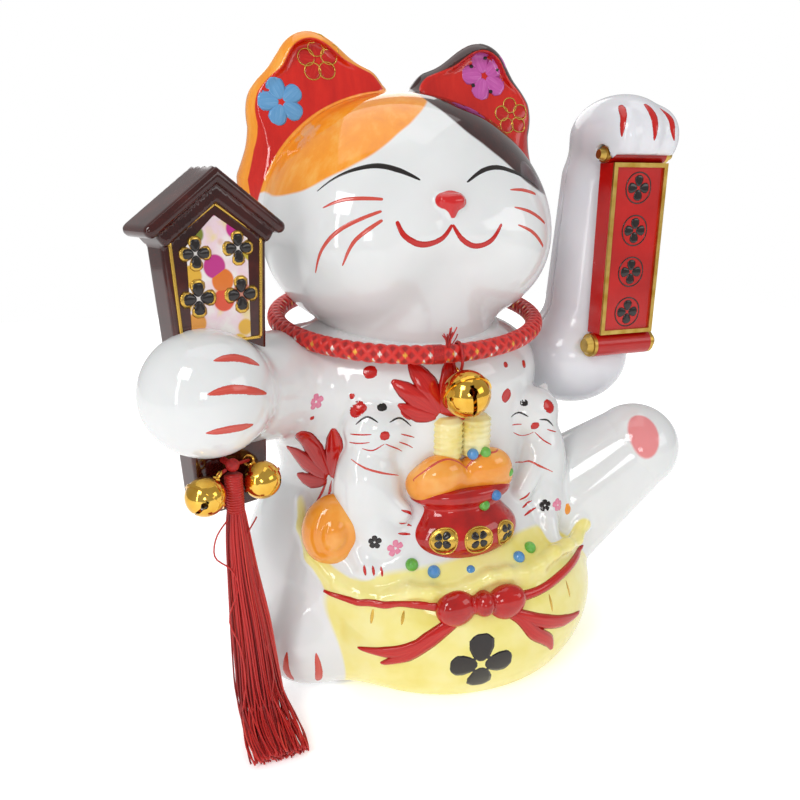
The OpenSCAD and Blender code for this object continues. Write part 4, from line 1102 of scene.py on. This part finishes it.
# Rayon tassel thread: satin, each thread its own shade of red, brighter along its length than across
thread_finish, tree, shader = material("rayon_tassel_thread_red")
shades = [(0.0, "#860a0c"), (0.45, "#b81614"), (0.8, "#cc221c"), (1.0, "#dc3e32")]
fill(shader, Base_Color=node(tree, "ValToRGB", stops=shades,
                             Fac=node(tree, "Attribute", "Fac", attribute_name="shade")),
     Roughness=0.36, Sheen_Weight=0.1, Anisotropic=0.4)

rng = np.random.default_rng(7)


def strands(paths, r, name, body, replaced=()):
    """Many thin threads: five-sided sections carried along paths, which are (threads, points, 3)."""
    n, m = paths.shape[:2]
    t = unit(np.gradient(paths, axis=1))
    side = unit(np.cross(t, np.array([0.97, 0.15, 0.2])))
    top = np.cross(side, t)
    b = np.linspace(0, 2 * np.pi, 5, endpoint=False)
    rings = paths[:, :, None] + r * (np.cos(b)[:, None] * side[:, :, None] + np.sin(b)[:, None] * top[:, :, None])
    points, faces = gather([solid_grid(ring) for ring in rings])
    shade = np.repeat(rng.random(n), m * 5 + 2)
    return piece(name, points, faces, thread_finish, body, replaced=replaced, values={"shade": shade})


# Skirt of the tassel: threads spread evenly round a spine by the golden angle, each wandering a little, the
# last bit lying forward on the table
SKIRT = np.array([(-84.6, -50, 92.5), (-84.6, -50, 84), (-83.8, -50, 66), (-82, -50, 44), (-80.6, -50, 20),
                  (-79.8, -52, 10.5),
                  (-79, -58, 6.4), (-78, -66, 4.4), (-77, -74, 3.0)])
SKIRT_WIDE = [2.6, 3.9, 5.4, 7.4, 9.0, 9.6, 10.2, 10.4, 10.0]
SKIRT_DEEP = [2.6, 3.4, 3.8, 4.6, 4.8, 4.2, 3.4, 2.6, 1.8]
THREADS, STEPS, GOLDEN_ANGLE = 190, 34, 2.39996
spine = smooth_path(SKIRT, STEPS)
u = np.linspace(0, 1, STEPS)
wide, deep = (np.interp(u, np.linspace(0, 1, len(SKIRT)), sizes) for sizes in (SKIRT_WIDE, SKIRT_DEEP))
normal = unit(np.cross(unit(np.gradient(spine, axis=0)), X_WAY))
k = np.arange(THREADS)
spread, turn = np.sqrt((k + 0.5) / THREADS), k * GOLDEN_ANGLE
wander = np.stack([np.sin(u[None] * (5 + 7 * rng.random((THREADS, 1))) + 6.28 * rng.random((THREADS, 1)))
                   for _ in range(2)], -1)
wander *= (0.15 + 1.1 * u[None, :, None] ** 1.5)
across = (spread * np.cos(turn))[:, None] * wide[None] + wander[..., 0]
out = (spread * np.sin(turn))[:, None] * deep[None] + wander[..., 1] * 0.5
skirt = spine[None] + across[..., None] * X_WAY + out[..., None] * normal[None]
trim = 1 - 0.05 * rng.random((THREADS, 1)) * (u[None] > 0.9) * (u[None] - 0.9) * 10
skirt[..., 1] = skirt[..., 1] * trim + SKIRT[0, 1] * (1 - trim)
skirt[..., 2] = np.maximum(skirt[..., 2], 0.5 + 0.8 * rng.random((THREADS, 1)))
strands(skirt, 0.34, "tassel_strands", "tassel", ["tassel_skirt"])

# Two threads that have come away from the skirt
STRAY = smooth_path([(-86.5, -51, 90), (-92, -53, 84), (-93.2, -53, 76), (-88, -53, 70), (-86, -53, 62),
                     (-90, -53, 50), (-87, -54, 38), (-86, -55, 24), (-88, -56, 12)], STEPS)
other = STRAY + [9, 0.6, -2] + np.sin(u * 9)[:, None] * [1.4, 0, 0]
strands(np.stack([STRAY, other]), 0.3, "tassel_stray_threads", "tassel")

# The tassel's neck: thread wound round in turns of one pitch, a ridge for each
NECK_R, PITCH = 3.12, 0.95
z = np.linspace(90.8, 105.2, 90)
neck_r = NECK_R + 0.16 * np.cos(2 * np.pi * z / PITCH) - 0.5 * ((z > 104.9) | (z < 91.1))
points, faces = solid_grid(turned(neck_r, z, 40) + np.array([SKIRT[0, 0], SKIRT[0, 1], 0]))
piece("tassel_wound_neck", points, faces, thread_finish, "tassel", replaced=["tassel_neck"],
      values={"shade": np.full(len(points), 0.55)})

# Ends of the thread that ties the bell on: a short frayed tuft standing up from the cord
TUFT, TUFT_ROOT = 12, np.array([-1.6, -47.0, 143.6])
lean = np.stack([rng.normal(0, 0.33, TUFT) - 0.1, rng.normal(-0.12, 0.12, TUFT), np.ones(TUFT)], 1)
tall = 5.0 + 3.4 * rng.random(TUFT)
v = np.linspace(0, 1, 12)
roots = TUFT_ROOT + 0.5 * rng.normal(0, 1, (TUFT, 1, 3)) * [1, 0.2, 0]
tuft = roots + unit(lean)[:, None] * (tall[:, None] * v)[..., None]
tuft[..., 0] += np.sin(v[None] * 3 + rng.random((TUFT, 1)) * 6) * 0.6
strands(tuft, 0.26, "bell_tie_tuft", "body")


# ---- Finishes of the CAD nodes that stay ----


def plain(name, dark, light, rough, metal=0.0, scale=0.3, coat=0.0, bump=0.0, grain=(1, 1, 1), bump_scale=None):
    """Finish with a mottled colour, and where bump is set a surface roughness that deep in millimetres. Its
    gloss varies by a quarter in finer clouds."""
    made, tree, shader = material(name)
    place = node(tree, "VectorMath", operation="MULTIPLY", i0=where(tree), i1=grain)
    rub = node(tree, "TexNoise", Scale=scale * 3, Detail=3.0, Vector=place)
    fill(shader, Base_Color=clouded([(0.3, dark), (0.7, light)], scale, 4.0)(tree, place), Metallic=metal,
         Coat_Weight=coat,
         Roughness=node(tree, "MapRange", To_Min=rough * 0.8, To_Max=rough * 1.25, Value=rub))
    if bump:
        pits = node(tree, "TexNoise", Scale=bump_scale or scale * 8, Detail=3.0, Vector=place)
        fill(shader, Normal=node(tree, "Bump", Strength=0.6, Distance=bump * MM, Height=pits))
    return made


FINISHES = {
    # Glazed clay, the same as the skins that stand for it
    "glaze_white": white_glaze,
    "glaze_brown": sign_finish,
    # Twisted rayon thread: satin, with fine cross ridges
    "cord_red": plain("rayon_thread_red", "#980c0e", "#c41c1a", 0.45, 0, 0.8, 0, 0.12),
    # Thin plated brass: mirror gloss, yellow, with faint rubbing marks
    "gilt_brass": plain("gold_plated_brass", "#e2a93a", "#f3c65c", 0.1, 1.0, 0.15),
    # Drawn steel wire and pins: bright grey metal with fine lines along its length
    "bright_steel": plain("drawn_steel", "#b4b4b6", "#cfcfd2", 0.28, 1.0, 0.4, 0, 0.02, (1, 1, 0.1)),
    # Moulded white plastic, the same as the arm's skins
    "arm_plastic": arm_finish,
    # Moulded red plastic: an even gloss and hardly any mottling
    "scroll_red": plain("moulded_abs_red", "#ae0a06", "#c5120c", 0.24, 0, 0.06, 0.15),
    # Gold foil hot-stamped over plastic: metal, softly grained and duller than plating
    "scroll_gilt": plain("hot_stamped_gold_foil", "#b9913a", "#d8b968", 0.32, 1.0, 0.2, 0, 0.03),
    # Nylon without colour: a waxy off-white with little gloss
    "nylon": plain("moulded_nylon_natural", "#dedace", "#ece8dc", 0.45, 0, 0.2),
    # Nickel plating on a pressed magnet: cold grey and glossy
    "magnet": plain("nickel_plated_magnet", "#9a9a9e", "#b9b9bd", 0.22, 1.0, 0.3),
    # Black plastic with a fine spark-eroded texture, which dulls it
    "frame_black": plain("moulded_abs_black", "#17171a", "#232327", 0.4, 0, 0.3, 0, 0.04),
    # Enamelled copper wire, wound in close turns across X: red-brown metal under a clear varnish
    "copper_wire": plain("enamelled_copper_wire", "#7e3312", "#b55a26", 0.25, 1.0, 0.5, 0.4, 0.1, (3, 0.2, 3)),
    # Solder mask over glass cloth: green lacquer with some depth
    "circuit_board": plain("solder_masked_board_green", "#0f5a2c", "#187a3e", 0.35, 0, 0.5, 0.3),
    # Moulded epoxy: nearly black and matt, finely pitted
    "chip_black": plain("epoxy_chip_black", "#131315", "#1d1d20", 0.5, 0, 0.6, 0, 0.03),
    # Soft PVC insulation: a satin red
    "lead_red": plain("pvc_lead_red", "#b5161a", "#cc2226", 0.38, 0, 0.3),
    # Ivory plastic with a spark-eroded texture 0.4 mm across
    "cover_ivory": plain("moulded_abs_ivory", "#e2dcc8", "#ece7d6", 0.42, 0, 0.15, 0, 0.05, (1, 1, 1), 2.5),
    # Printed plastic film shrunk over a cell: blue under a thin gloss
    "cell_wrap": plain("printed_cell_sleeve", "#2c4c7a", "#3a62a0", 0.3, 0, 0.1, 0.3),
}
for part in frame["record"]["subparts"]:
    mesh = NODES[part["node"]].data
    mesh.materials.clear()
    mesh.materials.append(FINISHES[part["material_slot"]])

# ---- Floor, sky and size table ----

FLOOR_HALF = 0.95

# Matt white studio floor. It glows, for the camera more than for the cat, and more the farther out, so that
# it stays white
made, tree, shader = material("studio_floor_matt_white")
seen = node(tree, "LightPath", "Is Camera Ray")
away = node(tree, "VectorMath", "Value", operation="LENGTH", i0=node(tree, "TexCoord", "Object"))
glow = node(tree, "MapRange", From_Min=0.2, From_Max=0.75, To_Min=0.4, To_Max=0.63, Value=away)
fill(shader, Base_Color="#fbfbfb", Roughness=0.6, Emission_Color="#ffffff",
     Emission_Strength=node(tree, "MapRange", To_Min=0.3, Value=seen, To_Max=glow))
corners = [(x * FLOOR_HALF, y * FLOOR_HALF, 0) for x, y in ((-1, -1), (1, -1), (1, 1), (-1, 1))]
floor_mesh = bpy.data.meshes.new("floor")
floor_mesh.from_pydata(corners, [], [(0, 1, 2, 3)])
floor_mesh.materials.append(made)
floor = bpy.data.objects.new("floor", floor_mesh)
bpy.context.scene.collection.objects.link(floor)

# White sky: full white to the camera, less than half of that as light
world = bpy.data.worlds.new("studio")
bpy.context.scene.world = world
world.use_nodes = True
tree = world.node_tree
bright = node(tree, "MapRange", To_Min=0.44, To_Max=1.0, Value=node(tree, "LightPath", "Is Camera Ray"))
fill(tree.nodes["Background"], Color="#ffffff", Strength=bright)
